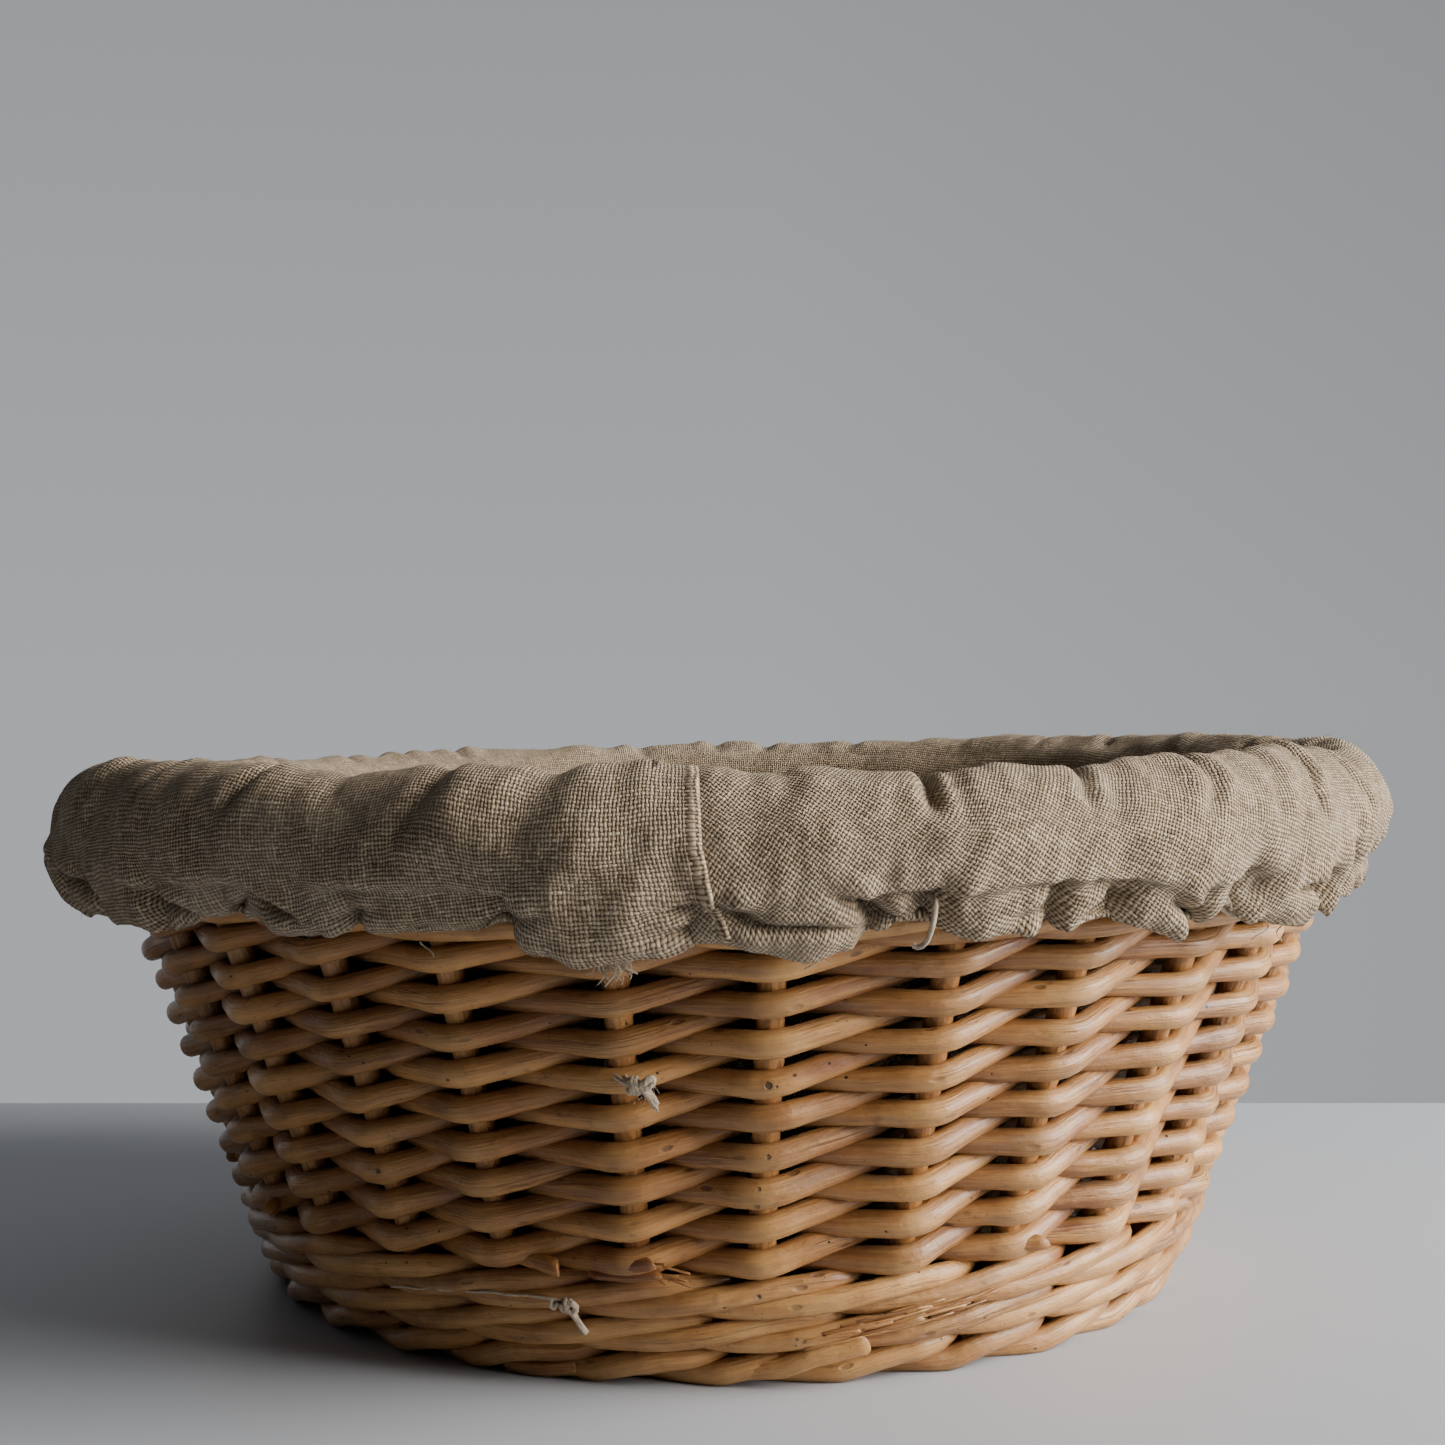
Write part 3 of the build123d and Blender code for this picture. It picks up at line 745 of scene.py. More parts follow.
# the split rod: its fibres have parted and stand off the wale
for i in range(64):
    a0 = rng.uniform(7.5, 22.0)
    length_ = rng.uniform(2.5, 9.0)
    z0 = 8.6 + 0.34 * (a0 - 7.0) + rng.normal(0, 0.75)
    lift_ = rng.uniform(6.2, 7.1)
    lay([a0, a0 + length_ * 0.5, a0 + length_], [z0, z0 + 0.17 * length_ + rng.normal(0, 0.12), z0 + 0.34 * length_ + rng.normal(0, 0.25)],
        [lift_ - rng.uniform(0.1, 0.6), lift_, lift_ - rng.uniform(-0.2, 0.6)], rng.uniform(0.14, 0.30), rng.uniform(0.18, 0.42), 8300 + i,
        rng.uniform(0.25, 1.0), (0.2, 0.2), 10, 6, rng.uniform(-0.3, 0.6))
# the round butt of the rod that starts there
lay([1.0, 6.0, 10.5, 14.2], [4.2, 4.9, 6.4, 8.0], [4.8, 5.6, 6.3, 6.4], 1.7, 2.05, 8401, 0.8, (0.2, 0.9), 22, 14, 0.6)
lay([-24.5, -20.0, -16.0], [3.2, 3.4, 3.9], [5.4, 6.0, 5.0], 1.4, 1.7, 8402, 0.5, (1.1, 0.2), 16, 12, 0.3)
broken.piece("rod_ends_and_splinters", WILLOW, "willow_rods")

# ---- base weave ---------------------------------------------------------------
for name, first, last in (
    ("base_weave_inner", 0, 42),
    ("base_weave_middle", 43, 84),
    ("base_weave_outer", 85, 109),
):
    tube = Tubes()
    for side in (0, 1):
        rng = np.random.default_rng(900 + side + first)
        points = []
        for step in range(first, last + 1):
            angle = PAIR_CENTRE + STICK_TURN * step
            over = 1 if (step + side) % 2 else -1
            r = BASE_START_R + BASE_ROUND * step / STICK_ENDS
            hold = 10.0 if r > 70 else (8.0 if r > 53.5 else 3.0)
            level = BASE_LEVEL + over * (BASE_PASS + 0.1)
            d = math.degrees(hold / r)
            if step > first:
                points.append(place(angle - d, r, level))
            if step < last:
                points.append(place(angle + d, r, level))
                points.append(place(angle + STICK_TURN / 2, r + BASE_ROUND / 2 / STICK_ENDS + over * 1.55, BASE_LEVEL))
        line = eased(points, 2.0, 1.1)
        line[:, 2] = np.maximum(line[:, 2], 1.95)
        normal = np.tile(np.array([0.0, 0.0, -1.0]), (len(line), 1))
        tube.add(line, normal, 1.62, 1.72, tone=rng.uniform(0.3, 0.9), seed=950 + side + first,
                 sides=SIDES - 2, worn_and_shaded=np.clip((BASE_LEVEL - line[:, 2]) / 5, -1, 1) * 0.5 - 0.2)
    tube.piece(f"{name}_rods", WILLOW, "willow_rods", name)

# ---- the linen: one strip, seamed into a band, gathered by its hem -------------
BOTTOM_EDGE = np.array([
    (-54.5, 79.2), (-47.7, 79.2), (-41.2, 81.8), (-36.0, 82.9), (-33.6, 80.2), (-30.5, 79.6), (-26.8, 82.5),
    (-21.5, 81.1), (-17.3, 82.3), (-14.6, 83.5), (-13.6, 81.1), (-9.7, 78.6), (-6.5, 79.8), (-3.5, 82.6),
    (0.0, 81.5), (1.8, 81.0), (5.5, 79.2), (8.7, 80.5), (9.9, 82.7), (12.5, 83.8), (14.8, 83.5), (17.5, 81.4),
    (20.4, 82.8), (23.3, 83.7), (24.7, 82.2), (27.1, 83.3), (29.5, 83.4), (33.5, 80.6), (35.8, 81.4),
    (40.5, 83.4), (43.5, 80.2), (47.5, 79.5),
])
TOP_EDGE = np.array([
    (-82.7, 105.6), (-66.0, 107.6), (-58.0, 108.6), (-47.0, 108.7), (-39.0, 109.0), (-32.6, 108.2), (-27.9, 107.2),
    (-20.4, 109.3), (-15.8, 108.9), (-12.1, 108.4), (-8.6, 109.0), (-5.1, 110.0), (-1.6, 109.1), (1.8, 108.1),
    (4.5, 108.4), (7.3, 108.7), (12.3, 108.0), (15.9, 106.7), (17.4, 108.6), (19.7, 109.5), (23.8, 108.8),
    (28.1, 108.0), (30.8, 109.6), (32.8, 110.3), (38.1, 109.9), (44.3, 110.9), (52.6, 111.5), (70.9, 108.9),
])
# creases: angle and height at the top end, angle and height at the lower end, depth, half width
CREASES = [
    (-34.6, 108.6, -37.0, 100.0, 1.5, 1.1), (-27.6, 108.6, -28.6, 101.0, 0.6, 1.4), (-19.3, 109.6, -22.4, 93.5, 1.5, 1.5),
    (-11.4, 109.2, -13.6, 97.0, 0.9, 1.6), (4.6, 109.0, 3.6, 102.5, 0.7, 1.1),
    (15.2, 108.9, 13.6, 101.5, 2.2, 0.8), (26.7, 109.2, 25.8, 102.0, 1.6, 0.9),
    (37.4, 109.8, 36.2, 101.5, 1.5, 1.0), (44.8, 109.8, 43.4, 99.0, 0.8, 1.2),
    (51.6, 110.2, 49.8, 99.5, 1.9, 0.9), (60.5, 109.8, 58.4, 97.0, 1.5, 1.1),
    (-46.5, 108.8, -48.5, 98.0, 1.2, 1.2), (-56.0, 108.8, -58.5, 97.0, 1.5, 1.2),
    (-68.0, 108.0, -71.5, 95.0, 1.6, 1.2), (-79.5, 107.5, -81.0, 95.0, 1.4, 1.3), (73.0, 109.2, 70.0, 98.0, 1.3, 1.1),
    (85.0, 109.6, 83.0, 99.0, 1.5, 1.1),
]
TUCKS = [(-56.0, 1.0), (-38.4, 2.4), (-26.6, 1.7), (-15.0, 1.9), (-3.4, 2.0), (9.8, 1.5), (13.8, 1.8), (23.2, 1.7),
         (28.4, 2.0), (35.7, 1.3), (40.8, 2.0), (-46.0, 1.5), (-64.5, 2.0), (-73.0, 1.6), (-82.0, 2.0),
         (52.0, 1.8), (57.5, 2.2), (66.0, 1.8), (75.0, 2.2), (84.0, 1.7)]

rng = np.random.default_rng(31)
tuck_more, crease_more = [], []
at_deg = 92.0
while at_deg < 270:
    tuck_more.append((at_deg, rng.uniform(1.4, 2.3)))
    if rng.uniform() < 0.75:
        top = at_deg + rng.uniform(-3, 3)
        crease_more.append((top, 109.5, top - rng.uniform(-1.5, 3.4), rng.uniform(95, 102), rng.uniform(0.5, 1.2), rng.uniform(1.0, 1.8)))
    at_deg += rng.uniform(7.0, 12.5)
TUCKS += tuck_more
CREASES += crease_more
broad = Noise(41)
fine_noise = Noise(42)
small_noise = Noise(43)


def turned(angle):
    """The angle between -180 and 180 degrees."""
    return (np.asarray(angle, float) + 180.0) % 360.0 - 180.0


def top_edge(angle):
    a = turned(angle)
    far = 108.3 + 3.4 * np.sin(np.radians(a)) + 0.8 * broad((a % 360) / 9.0, 3.3, 40) + 0.5 * fine_noise((a % 360) / 4.5, 7.7, 80)
    near = np.interp(a, TOP_EDGE[:, 0], TOP_EDGE[:, 1])
    blend = np.clip(np.minimum(a + 88.0, 80.0 - a) / 8.0, 0, 1)
    return far * (1 - blend) + near * blend


def tuck(angle, width=1.0):
    a = turned(angle)
    total = np.zeros_like(a)
    for centre, wide in TUCKS:
        d = turned(a - centre)
        total = np.maximum(total, np.exp(-((d / (wide * width)) ** 2)))
    return total


def bottom_edge(angle):
    a = turned(angle)
    far = 79.4 + 3.6 * tuck(a, 1.0) + 0.6 * fine_noise((a % 360) / 6.0, 1.2, 60)
    near = np.interp(a, BOTTOM_EDGE[:, 0], BOTTOM_EDGE[:, 1])
    blend = np.clip(np.minimum(a + 58.0, 52.0 - a) / 5.0, 0, 1)
    return far * (1 - blend) + near * blend


def liner_side(z):
    return WALL_R0 + WALL_LEAN * z - 7.0 / math.cos(LEAN)


def catmull(keys, rows):
    """keys: (columns, keys, 2). Rows between each pair of keys are given by rows."""
    first = 2 * keys[:, :1] - keys[:, 1:2]
    last = 2 * keys[:, -1:] - keys[:, -2:-1]
    k = np.concatenate([first, keys, last], 1)
    parts = []
    for i, n in enumerate(rows):
        t = np.linspace(0, 1, n, endpoint=False)[None, :, None]
        a, b, c, d = (k[:, i + j : i + j + 1] for j in range(4))
        parts.append(0.5 * (2 * b + (c - a) * t + (2 * a - 5 * b + 4 * c - d) * t**2 + (3 * b - a - 3 * c + d) * t**3))
    parts.append(keys[:, -1:])
    return np.concatenate(parts, 1)


# columns run round the basket once, lap over the start, and fold back under
PITCH = 0.33
LAP_START = -9.0
main = np.arange(LAP_START, 360.0 - 2.2, PITCH)
fold_out = np.array([360 - 1.95, 360 - 1.70, 360 - 1.55, 360 - 1.62, 360 - 1.85, 360 - 2.3, 360 - 3.0, 360 - 3.8, 360 - 4.6])
column = np.concatenate([main, fold_out])
lift = np.interp(main, [LAP_START, 360 - 24.0, 360 - 9.5, 360.0], [0.0, 0.0, 1.75, 1.95])
lift = np.where(main > 360 - 24.0, 1.95 * np.clip((main - 336.0) / 14.0, 0, 1) ** 2 * (3 - 2 * np.clip((main - 336.0) / 14.0, 0, 1)), 0.0)
lift = np.concatenate([lift, [1.93, 1.80, 1.50, 1.16, 0.98, 0.92, 0.90, 0.90, 0.90]])
near_lap = np.concatenate([np.clip((main - 350.0) / 6.0, 0, 1), np.ones(len(fold_out))])

zt = top_edge(column) - 0.5
zb = bottom_edge(column) + 0.55
deep = tuck(column)
puff = np.clip((82.6 - bottom_edge(column)) / 3.6, -0.5, 1.0)
rise = zt - 108.3
sag = np.clip(-np.sin(np.radians(column)), 0, 1) ** 1.5
tight = np.clip((turned(column) - 38.0) / 34.0, 0, 1) * np.clip((150.0 - turned(column)) / 40.0, 0, 1)
zb = zb + 3.6 * tight
one = np.ones_like(zt)
wall_in = 0.62 / math.cos(LEAN)


def key(r, z):
    return np.stack([r * one, z * one], -1)


keys = np.stack([
    key(liner_side(15.4) - wall_in, 14.9),
    key(liner_side(40.0) - wall_in, 40.0),
    key(liner_side(70.0) - wall_in, 70.0),
    key(liner_side(92.0) - wall_in, 92.0),
    key(119.2, 99.6 + 0.25 * rise),
    key(121.9, 105.0 + 0.8 * rise),
    key(128.4, zt),
    key(133.4, zt - 1.5),
    key(137.3, zt - 5.6),
    key(138.9 + 0.25 * rise + 0.2 * puff + 0.3 * sag, 98.0 + 0.5 * rise - 2.5 * sag),
    key(138.3 + 0.5 * puff - 0.5 * deep + 1.0 * sag - 1.0 * tight, 91.0 + 0.2 * rise - 1.0 * sag + 1.6 * tight),
    key(136.6 + 0.9 * puff - 1.6 * deep + 1.3 * sag - 2.2 * tight, zb + 6.4 - 1.2 * tight),
    key(135.3 + 0.9 * puff - 2.3 * deep + 0.6 * sag - 2.0 * tight, zb + 1.9),
    key(133.6 + 0.4 * puff - 1.6 * deep - 0.9 * tight, zb),
    key(132.1 - 0.8 * deep, zb + 1.0),
    key(131.3 - 0.5 * deep, zb + 4.2),
    key(131.2 - 0.2 * deep, zb + 8.5),
], 1)
rows = ((14, 18, 13, 9, 9, 10, 11, 11, 12, 11, 10, 8, 6, 5, 6, 6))
profile = catmull(keys, rows)
R, Z = profile[..., 0], profile[..., 1]
dr, dz = np.gradient(R, axis=1), np.gradient(Z, axis=1)
size_ = np.hypot(dr, dz)
# the cloth's outside: towards the bowl on the wall, up over the crown, outwards below
NR, NZ = -dz / size_, dr / size_
down = np.concatenate([np.zeros((len(column), 1)), np.cumsum(np.hypot(np.diff(R, axis=1), np.diff(Z, axis=1)), axis=1)], 1)
v_ref = down.mean(0)
A = np.repeat(column[:, None], R.shape[1], 1)
turn_a = A % 360.0
V = np.repeat(v_ref[None, :], len(column), 0)

row_at = np.concatenate([[0], np.cumsum(rows)])
crown_row, outer_row, low_row, bottom_row = row_at[6], row_at[9], row_at[11], row_at[13]
index = np.arange(R.shape[1])
outside = np.clip((index - row_at[5]) / 6.0, 0, 1)[None, :]
skirt = np.clip((index - row_at[8]) / (row_at[10] - row_at[8]), 0, 1)[None, :]
hidden = np.clip((row_at[14] - index) / 4.0, 0, 1)[None, :]
inside = np.clip((row_at[5] - index) / 6.0, 0, 1)[None, :]

# broad softness, then smaller puckers towards the gathered hem
push = outside * hidden * (1.55 * broad((turn_a + 0.10 * (V - v_ref[crown_row])) % 360 / 7.5, V / 19.0, 48) + 0.75 * fine_noise(turn_a / 3.0, V / 10.0, 120))
slant = turn_a + 0.20 * (V - v_ref[crown_row])
push += outside * hidden * 0.28 * fine_noise((slant % 360) / 1.5, V / 16.0, 240)
push += skirt * hidden * (0.45 * small_noise(turn_a / 1.8, V / 7.0, 200) + 0.22 * small_noise(turn_a / 0.9, V / 5.0, 400))
# inside the bowl the cloth is slack: long shallow pleats, only ever inwards
pleat = 0.5 + 0.5 * broad(turn_a / 7.2, V / 70.0, 50)
fine_pleat = 0.5 + 0.5 * fine_noise(turn_a / 3.0, V / 40.0, 120)
reach = np.clip(V / 12.0, 0, 1) * inside
push += reach * (0.9 * pleat + 0.5 * fine_pleat)

# how much painted shade each point of the cloth gets in the creases, hollows and tucks
fold_shade = np.zeros_like(R)
for top_a, top_z, low_a, low_z, depth, wide in CREASES:
    t = (top_z - Z) / (top_z - low_z)
    middle = top_a + (low_a - top_a) * t + 0.35 * np.sin(t * 5 + top_a)
    d = turned(A - middle)
    along_ = np.clip((t + 0.35) / 0.3, 0, 1) * np.clip((1.15 - t) / 0.45, 0, 1)
    over_top = np.where(index[None, :] < crown_row, np.clip((index[None, :] - row_at[4]) / 12.0, 0, 1), 1.0)
    near_ = along_ * over_top * outside
    valley = np.exp(-((d / (0.55 * wide + 0.35)) ** 2))
    ridge = np.exp(-(((d - 1.3 * wide) / (1.0 * wide)) ** 2)) + 0.6 * np.exp(-(((d + 1.5 * wide) / (1.2 * wide)) ** 2))
    push += near_ * depth * (0.50 * ridge - 0.95 * valley)
    fold_shade = np.maximum(fold_shade, near_ * valley * min(depth, 1.2) * 0.25)

# hollows where the gathered cloth folds in under itself: angle, height, half
# width, half height, depth, rise per degree
HOLLOWS = [
    (1.3, 86.0, 1.5, 1.3, 3.2, -0.5), (9.9, 86.6, 2.3, 1.4, 3.8, -0.95), (5.0, 84.2, 4.2, 0.7, 2.0, -0.05),
    (27.3, 85.4, 1.8, 1.4, 3.4, 1.0), (34.8, 84.4, 1.7, 1.5, 3.6, -1.0), (21.5, 85.6, 1.6, 1.1, 1.8, 0.6),
    (49.5, 86.8, 2.2, 1.2, 3.2, 0.3), (56.9, 92.0, 1.0, 2.2, 4.2, 0.0), (43.0, 87.5, 0.9, 2.6, 1.8, 1.4),
    (-44.0, 84.3, 3.6, 1.2, 3.4, -0.6), (-37.4, 84.9, 1.5, 1.0, 2.8, 1.2), (-32.8, 85.2, 1.6, 1.0, 2.8, -1.2),
    (-26.0, 85.0, 1.8, 1.0, 1.6, 0.5), (-14.2, 85.2, 2.0, 1.2, 2.0, 0.6), (-4.0, 84.8, 1.6, 1.0, 1.8, 0.5),
    (-59.0, 86.5, 3.0, 1.2, 3.4, -0.5), (-72.0, 87.0, 2.4, 1.4, 3.2, 0.7), (68.0, 87.5, 2.4, 1.4, 3.2, 0.5),
    (-85.0, 88.5, 1.4, 3.6, 3.4, 0.9), (80.0, 88.0, 2.2, 1.5, 3.0, -0.7),
]
at_deg = 94.0
while at_deg < 268:
    HOLLOWS.append((at_deg, rng.uniform(84.5, 88.5), rng.uniform(1.4, 3.2), rng.uniform(1.0, 1.6), rng.uniform(2.0, 3.6), rng.uniform(-1.1, 1.1)))
    at_deg += rng.uniform(6.5, 12.0)
for centre, level, wide, tall, depth, slope in HOLLOWS:
    d = turned(A - centre)
    dz_ = Z - level - slope * np.clip(d, -2 * wide, 2 * wide)
    reach_ = np.exp(-((d / wide) ** 2)) * skirt * hidden
    pit = reach_ * np.exp(-((dz_ / tall) ** 2))
    lip = reach_ * np.exp(-(((dz_ - 2.2 * tall) / (1.3 * tall)) ** 2)) + 0.7 * reach_ * np.exp(-(((dz_ + 2.0 * tall) / (1.2 * tall)) ** 2))
    push += 0.30 * depth * lip - depth * pit
    fold_shade = np.maximum(fold_shade, pit * 0.8)

# the hem's cord draws the lower edge into tucks with folds running up from them
for centre, wide in TUCKS:
    lean_ = 0.05 * (V - v_ref[bottom_row])
    d = turned(A - centre + lean_)
    up = np.clip((V - v_ref[row_at[9]]) / (v_ref[bottom_row] - v_ref[row_at[9]]), 0, 1.0)
    valley = np.exp(-((d / (0.30 * wide + 0.25)) ** 2)) * up**1.5 * hidden
    side_ = (np.exp(-(((d - 0.95 * wide) / (0.5 * wide)) ** 2)) + np.exp(-(((d + 0.95 * wide) / (0.5 * wide)) ** 2))) * up * hidden
    push += 0.75 * side_ - 1.5 * valley
    fold_shade = np.maximum(fold_shade, 0.8 * valley)

push = np.where(index[None, :] >= row_at[13], np.minimum(push, 0.5), push)
hem_line = np.interp(V[0], [v_ref[crown_row], v_ref[outer_row], v_ref[low_row], v_ref[bottom_row]], [-0.25, 0.15, 1.15, 2.3])
shift = near_lap[:, None] * hem_line[None, :] * np.where(index >= row_at[4], 1.0, 0.0)[None, :]
fade_lap = np.clip((index - row_at[1]) / 8.0, 0.3, 1)[None, :] * np.clip((row_at[13] - index) / 6.0, 0.35, 1)[None, :]
push = push + lift[:, None] * np.maximum(fade_lap, 0.0)

# never into the wicker behind it
R2, Z2 = R + NR * push, Z + NZ * push
# the crown keeps the height it has in TOP_EDGE, whatever the lumps do
now = Z2[:, row_at[5] : row_at[8]].max(1)
gap_ = now - (zt + 0.15)
kernel = np.exp(-0.5 * (np.arange(-12, 13) / 6.0) ** 2)
kernel /= kernel.sum()
gap_ = np.convolve(np.pad(gap_, 12, mode="edge"), kernel, "valid")
Z2 = Z2 - gap_[:, None] * np.clip((Z2 - 88.0) / 12.0, 0, 1) * np.clip((index - row_at[3]) / 6.0, 0, 1)[None, :]
limit_in = liner_side(Z2) - wall_in
R2 = np.where((index[None, :] < row_at[4]), np.minimum(R2, limit_in), R2)
lower = index[None, :] >= row_at[10]
R2 = np.where(lower, np.maximum(R2, 130.6), R2)
cloth_points = place(A + shift, R2, Z2)
count_c, count_r = R.shape
grid = np.arange(count_c * count_r).reshape(count_c, count_r)
faces = np.stack([grid[:-1, :-1], grid[1:, :-1], grid[1:, 1:], grid[:-1, 1:]], -1).reshape(-1, 4)
# right of the lap the strip was folded over on the skew, so its threads run aslant
skew_at = [-400.0, -1.0, 0.0, 14.0, 30.0, 60.0, 95.0, 268.0, 300.0, 335.0, 352.0, 400.0]
skew = np.interp(column, skew_at, [0.62, 0.62, 0.62, 0.60, 0.42, 0.18, 0.05, 0.0, -0.14, -0.06, 0.0, 0.0])
du = np.gradient(np.radians(column) * 138.0)
run_u = np.cumsum(np.cos(skew) * du)
run_v = np.cumsum(np.sin(skew) * du)
V0 = V - v_ref[crown_row]
cloth_uv = np.stack([run_u[:, None] + V0 * np.sin(skew)[:, None], run_v[:, None] - V0 * np.cos(skew)[:, None], np.zeros_like(V)], -1)
# the lapped end was cut straight: its folded-under part reads on past the edge
back = np.concatenate([np.zeros(len(main)), [0.3, 0.7, 1.1, 1.6, 2.4, 3.5, 5.2, 7.2, 9.1]])
cloth_uv[..., 0] = np.where(back[:, None] > 0, cloth_uv[len(main) - 1, :, 0][None, :] + back[:, None], cloth_uv[..., 0])


def cloth_piece(name, points, faces, uv, fold_shade, thick):
    made = new_piece(name, points, faces, LINEN, [
        ("cloth", "FLOAT_VECTOR", uv), ("fold_shade", "FLOAT", fold_shade),
    ])
    solid = made.modifiers.new("thickness", "SOLIDIFY")
    solid.thickness = thick * MM
    solid.offset = 0.0
    solid.use_even_offset = False
    return made


band = cloth_piece("liner_linen_band", cloth_points.reshape(-1, 3), faces, cloth_uv.reshape(-1, 3), fold_shade.ravel(), 0.72)
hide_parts("liner_band")


# the round piece sewn into the bottom
rings = 90
spokes = 300
edge_r = float(liner_side(15.0) - wall_in)
q = np.linspace(0, 1, rings + 1)[1:]
radius = edge_r * q
theta = np.linspace(0, 360, spokes, endpoint=False)
RR, TT = np.meshgrid(radius, theta, indexing="ij")
X, Y = RR * np.sin(np.radians(TT)), -RR * np.cos(np.radians(TT))
level = 14.25 + 0.32 * broad(X / 19.0 + 20, Y / 19.0 + 20) + 0.16 * fine_noise(X / 7.0 + 30, Y / 7.0 + 30)
# the weave under it shows faintly, and the seam stands up round the edge
level += 0.10 * np.cos(2 * math.pi * RR / 3.2) * np.clip(RR / 25.0, 0, 1)
level += 1.1 * np.clip((RR - edge_r + 3.2) / 3.2, 0, 1) ** 2 + 0.35 * np.clip((RR - edge_r + 3.2) / 3.2, 0, 1) * fine_noise(TT / 2.4, 5.5, 150)
level = np.maximum(level, 14.0)
disc = np.concatenate([[[0.0, 0.0, 14.25]], np.stack([X, Y, level], -1).reshape(-1, 3)])
ids = np.arange(rings * spokes).reshape(rings, spokes) + 1
disc_faces = [(0, int(ids[0, (k + 1) % spokes]), int(ids[0, k])) for k in range(spokes)]
nxt = np.roll(ids, -1, axis=1)
disc_faces += [tuple(f) for f in np.stack([ids[:-1], nxt[:-1], nxt[1:], ids[1:]], -1).reshape(-1, 4).tolist()]
disc_faces = [tuple(reversed(f)) for f in disc_faces]
disc_uv = np.stack([disc[:, 0] + 300.0, disc[:, 1] - 400.0, np.zeros(len(disc))], -1)
# painted shade towards the seam round the floor's edge
disc_fold_shade = 0.8 * np.clip((np.hypot(disc[:, 0], disc[:, 1]) - edge_r + 2.4) / 2.4, 0, 1)
floor = cloth_piece("liner_linen_floor", disc, disc_faces, disc_uv, disc_fold_shade, 0.72)
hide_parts("liner_floor")

# seam allowance: the band's lower edge sewn to the round with a running stitch
stitches = Tubes()
for i in range(150):
    a0, a1 = 2.4 * i, 2.4 * i + 1.35
    a = np.linspace(a0, a1, 5)
    r = edge_r - 0.35 + 0 * a
    z = 16.0 + np.array([-0.25, 0.12, 0.2, 0.12, -0.25]) + 0.15 * fine_noise(a / 2.4, 5.5, 150)
    stitches.add(place(a, r - 0.55, z), place(a, -1.0 + 0 * a, 0.5 + 0 * a), 0.22, 0.22, seed=3000 + i, sides=6, nodes=False)
stitches.piece("liner_seam_stitches", STRING, "cotton_string")

# linen fibres that stand off the cloth along its edges
fibres = Tubes()
rng = np.random.default_rng(77)
for i in range(900):
    c = rng.integers(0, count_c)
    r_ = int(rng.choice([rng.integers(row_at[5], row_at[8]), rng.integers(row_at[8], row_at[13]), rng.integers(row_at[12], row_at[14])],
                        p=[0.45, 0.30, 0.25]))
    base = cloth_points[c, r_]
    n = place(A[c, r_], NR[c, r_], NZ[c, r_])
    side = rng.normal(0, 1, 3)
    side -= side.dot(n) * n
    side /= np.linalg.norm(side)
    long_ = rng.uniform(0.6, 2.4)
    t = np.linspace(0, 1, 6)[:, None]
    curl = rng.uniform(0.2, 0.9)
    line = base + n * 0.30 + n * long_ * 0.62 * (t - 0.55 * curl * t**2) + side * long_ * (0.25 * t + 0.75 * t**2) * curl
    line[:, 2] -= 0.25 * long_ * t[:, 0] ** 2
    fibres.add(line, np.tile(side, (6, 1)), 0.045 * (1 - 0.5 * t[:, 0]), 0.045 * (1 - 0.5 * t[:, 0]), seed=4000 + i, sides=3, nodes=False)
# a matted tuft of frayed hem
rng = np.random.default_rng(79)
for i in range(34):
    t = np.linspace(0, 1, 9)
    a0 = rng.uniform(-8.1, -6.3)
    drop = rng.uniform(2.2, 6.2) * (1 - 0.25 * abs(a0 + 7.4))
    a = a0 + rng.uniform(-0.9, 0.5) * t + 0.35 * np.sin(rng.uniform(4, 9) * t + i)
    r_line = 134.2 - 1.3 * t + rng.uniform(0.1, 0.6) * np.sin(rng.uniform(3, 8) * t + 2 * i)
    thick = rng.choice([0.07, 0.10, 0.26], p=[0.45, 0.35, 0.20]) * (1 - 0.45 * t)
    fibres.add(place(a, r_line, rng.uniform(79.6, 80.6) - drop * t), place(a, 1.0 + 0 * a, 0 * a), thick, thick, seed=5600 + i, sides=5, nodes=False)
# threads frayed out of the hem
for a0, z0, r0, lean_, long_ in ((-7.9, 79.0, 134.0, -0.5, 4.2), (-7.3, 79.2, 134.2, 0.4, 3.6), (-6.8, 79.4, 133.8, 0.9, 2.8),
                                 (-8.3, 78.8, 133.6, -1.0, 2.6), (-21.0, 80.8, 134.0, 0.6, 2.4), (6.2, 79.4, 134.5, -0.4, 2.2),
                                 (47.0, 80.0, 134.0, 0.7, 3.0), (44.6, 80.5, 134.3, -0.6, 2.6)):
    t = np.linspace(0, 1, 9)
    a = a0 + lean_ * t + 0.25 * np.sin(5 * t + a0)
    line = place(a, r0 - 1.4 * t + 0.4 * np.sin(4 * t + a0), z0 - long_ * t)
    fibres.add(line, place(a, 1.0 + 0 * a, 0 * a), 0.16 - 0.06 * t, 0.16 - 0.06 * t, seed=int(5000 + a0 * 10), sides=6, nodes=False)
fibres.piece("linen_fibres", STRING, "linen")

# ---- strings ------------------------------------------------------------------
def string_line(points, n):
    """A smooth line of n points through the given ones."""
    points = np.asarray(points, float)
    return smooth_through(points, max(2, n // (len(points) - 1)))


def steady(line, guide):
    return np.tile(np.asarray(guide, float), (len(line), 1))


draw = Tubes()
a = np.linspace(0, 360, 700)
tucked = tuck(a)
line = place(a, 130.0 + 0.1 * np.sin(np.radians(a) * 37), np.maximum(bottom_edge(a) + 1.6, 82.6) + 0.2 * np.sin(np.radians(a) * 23))
draw.add(line, place(a, 1.0 + 0 * a, 0 * a), 0.66, 0.66, seed=61, sides=10, nodes=False, lobes=3, twist=1.7)
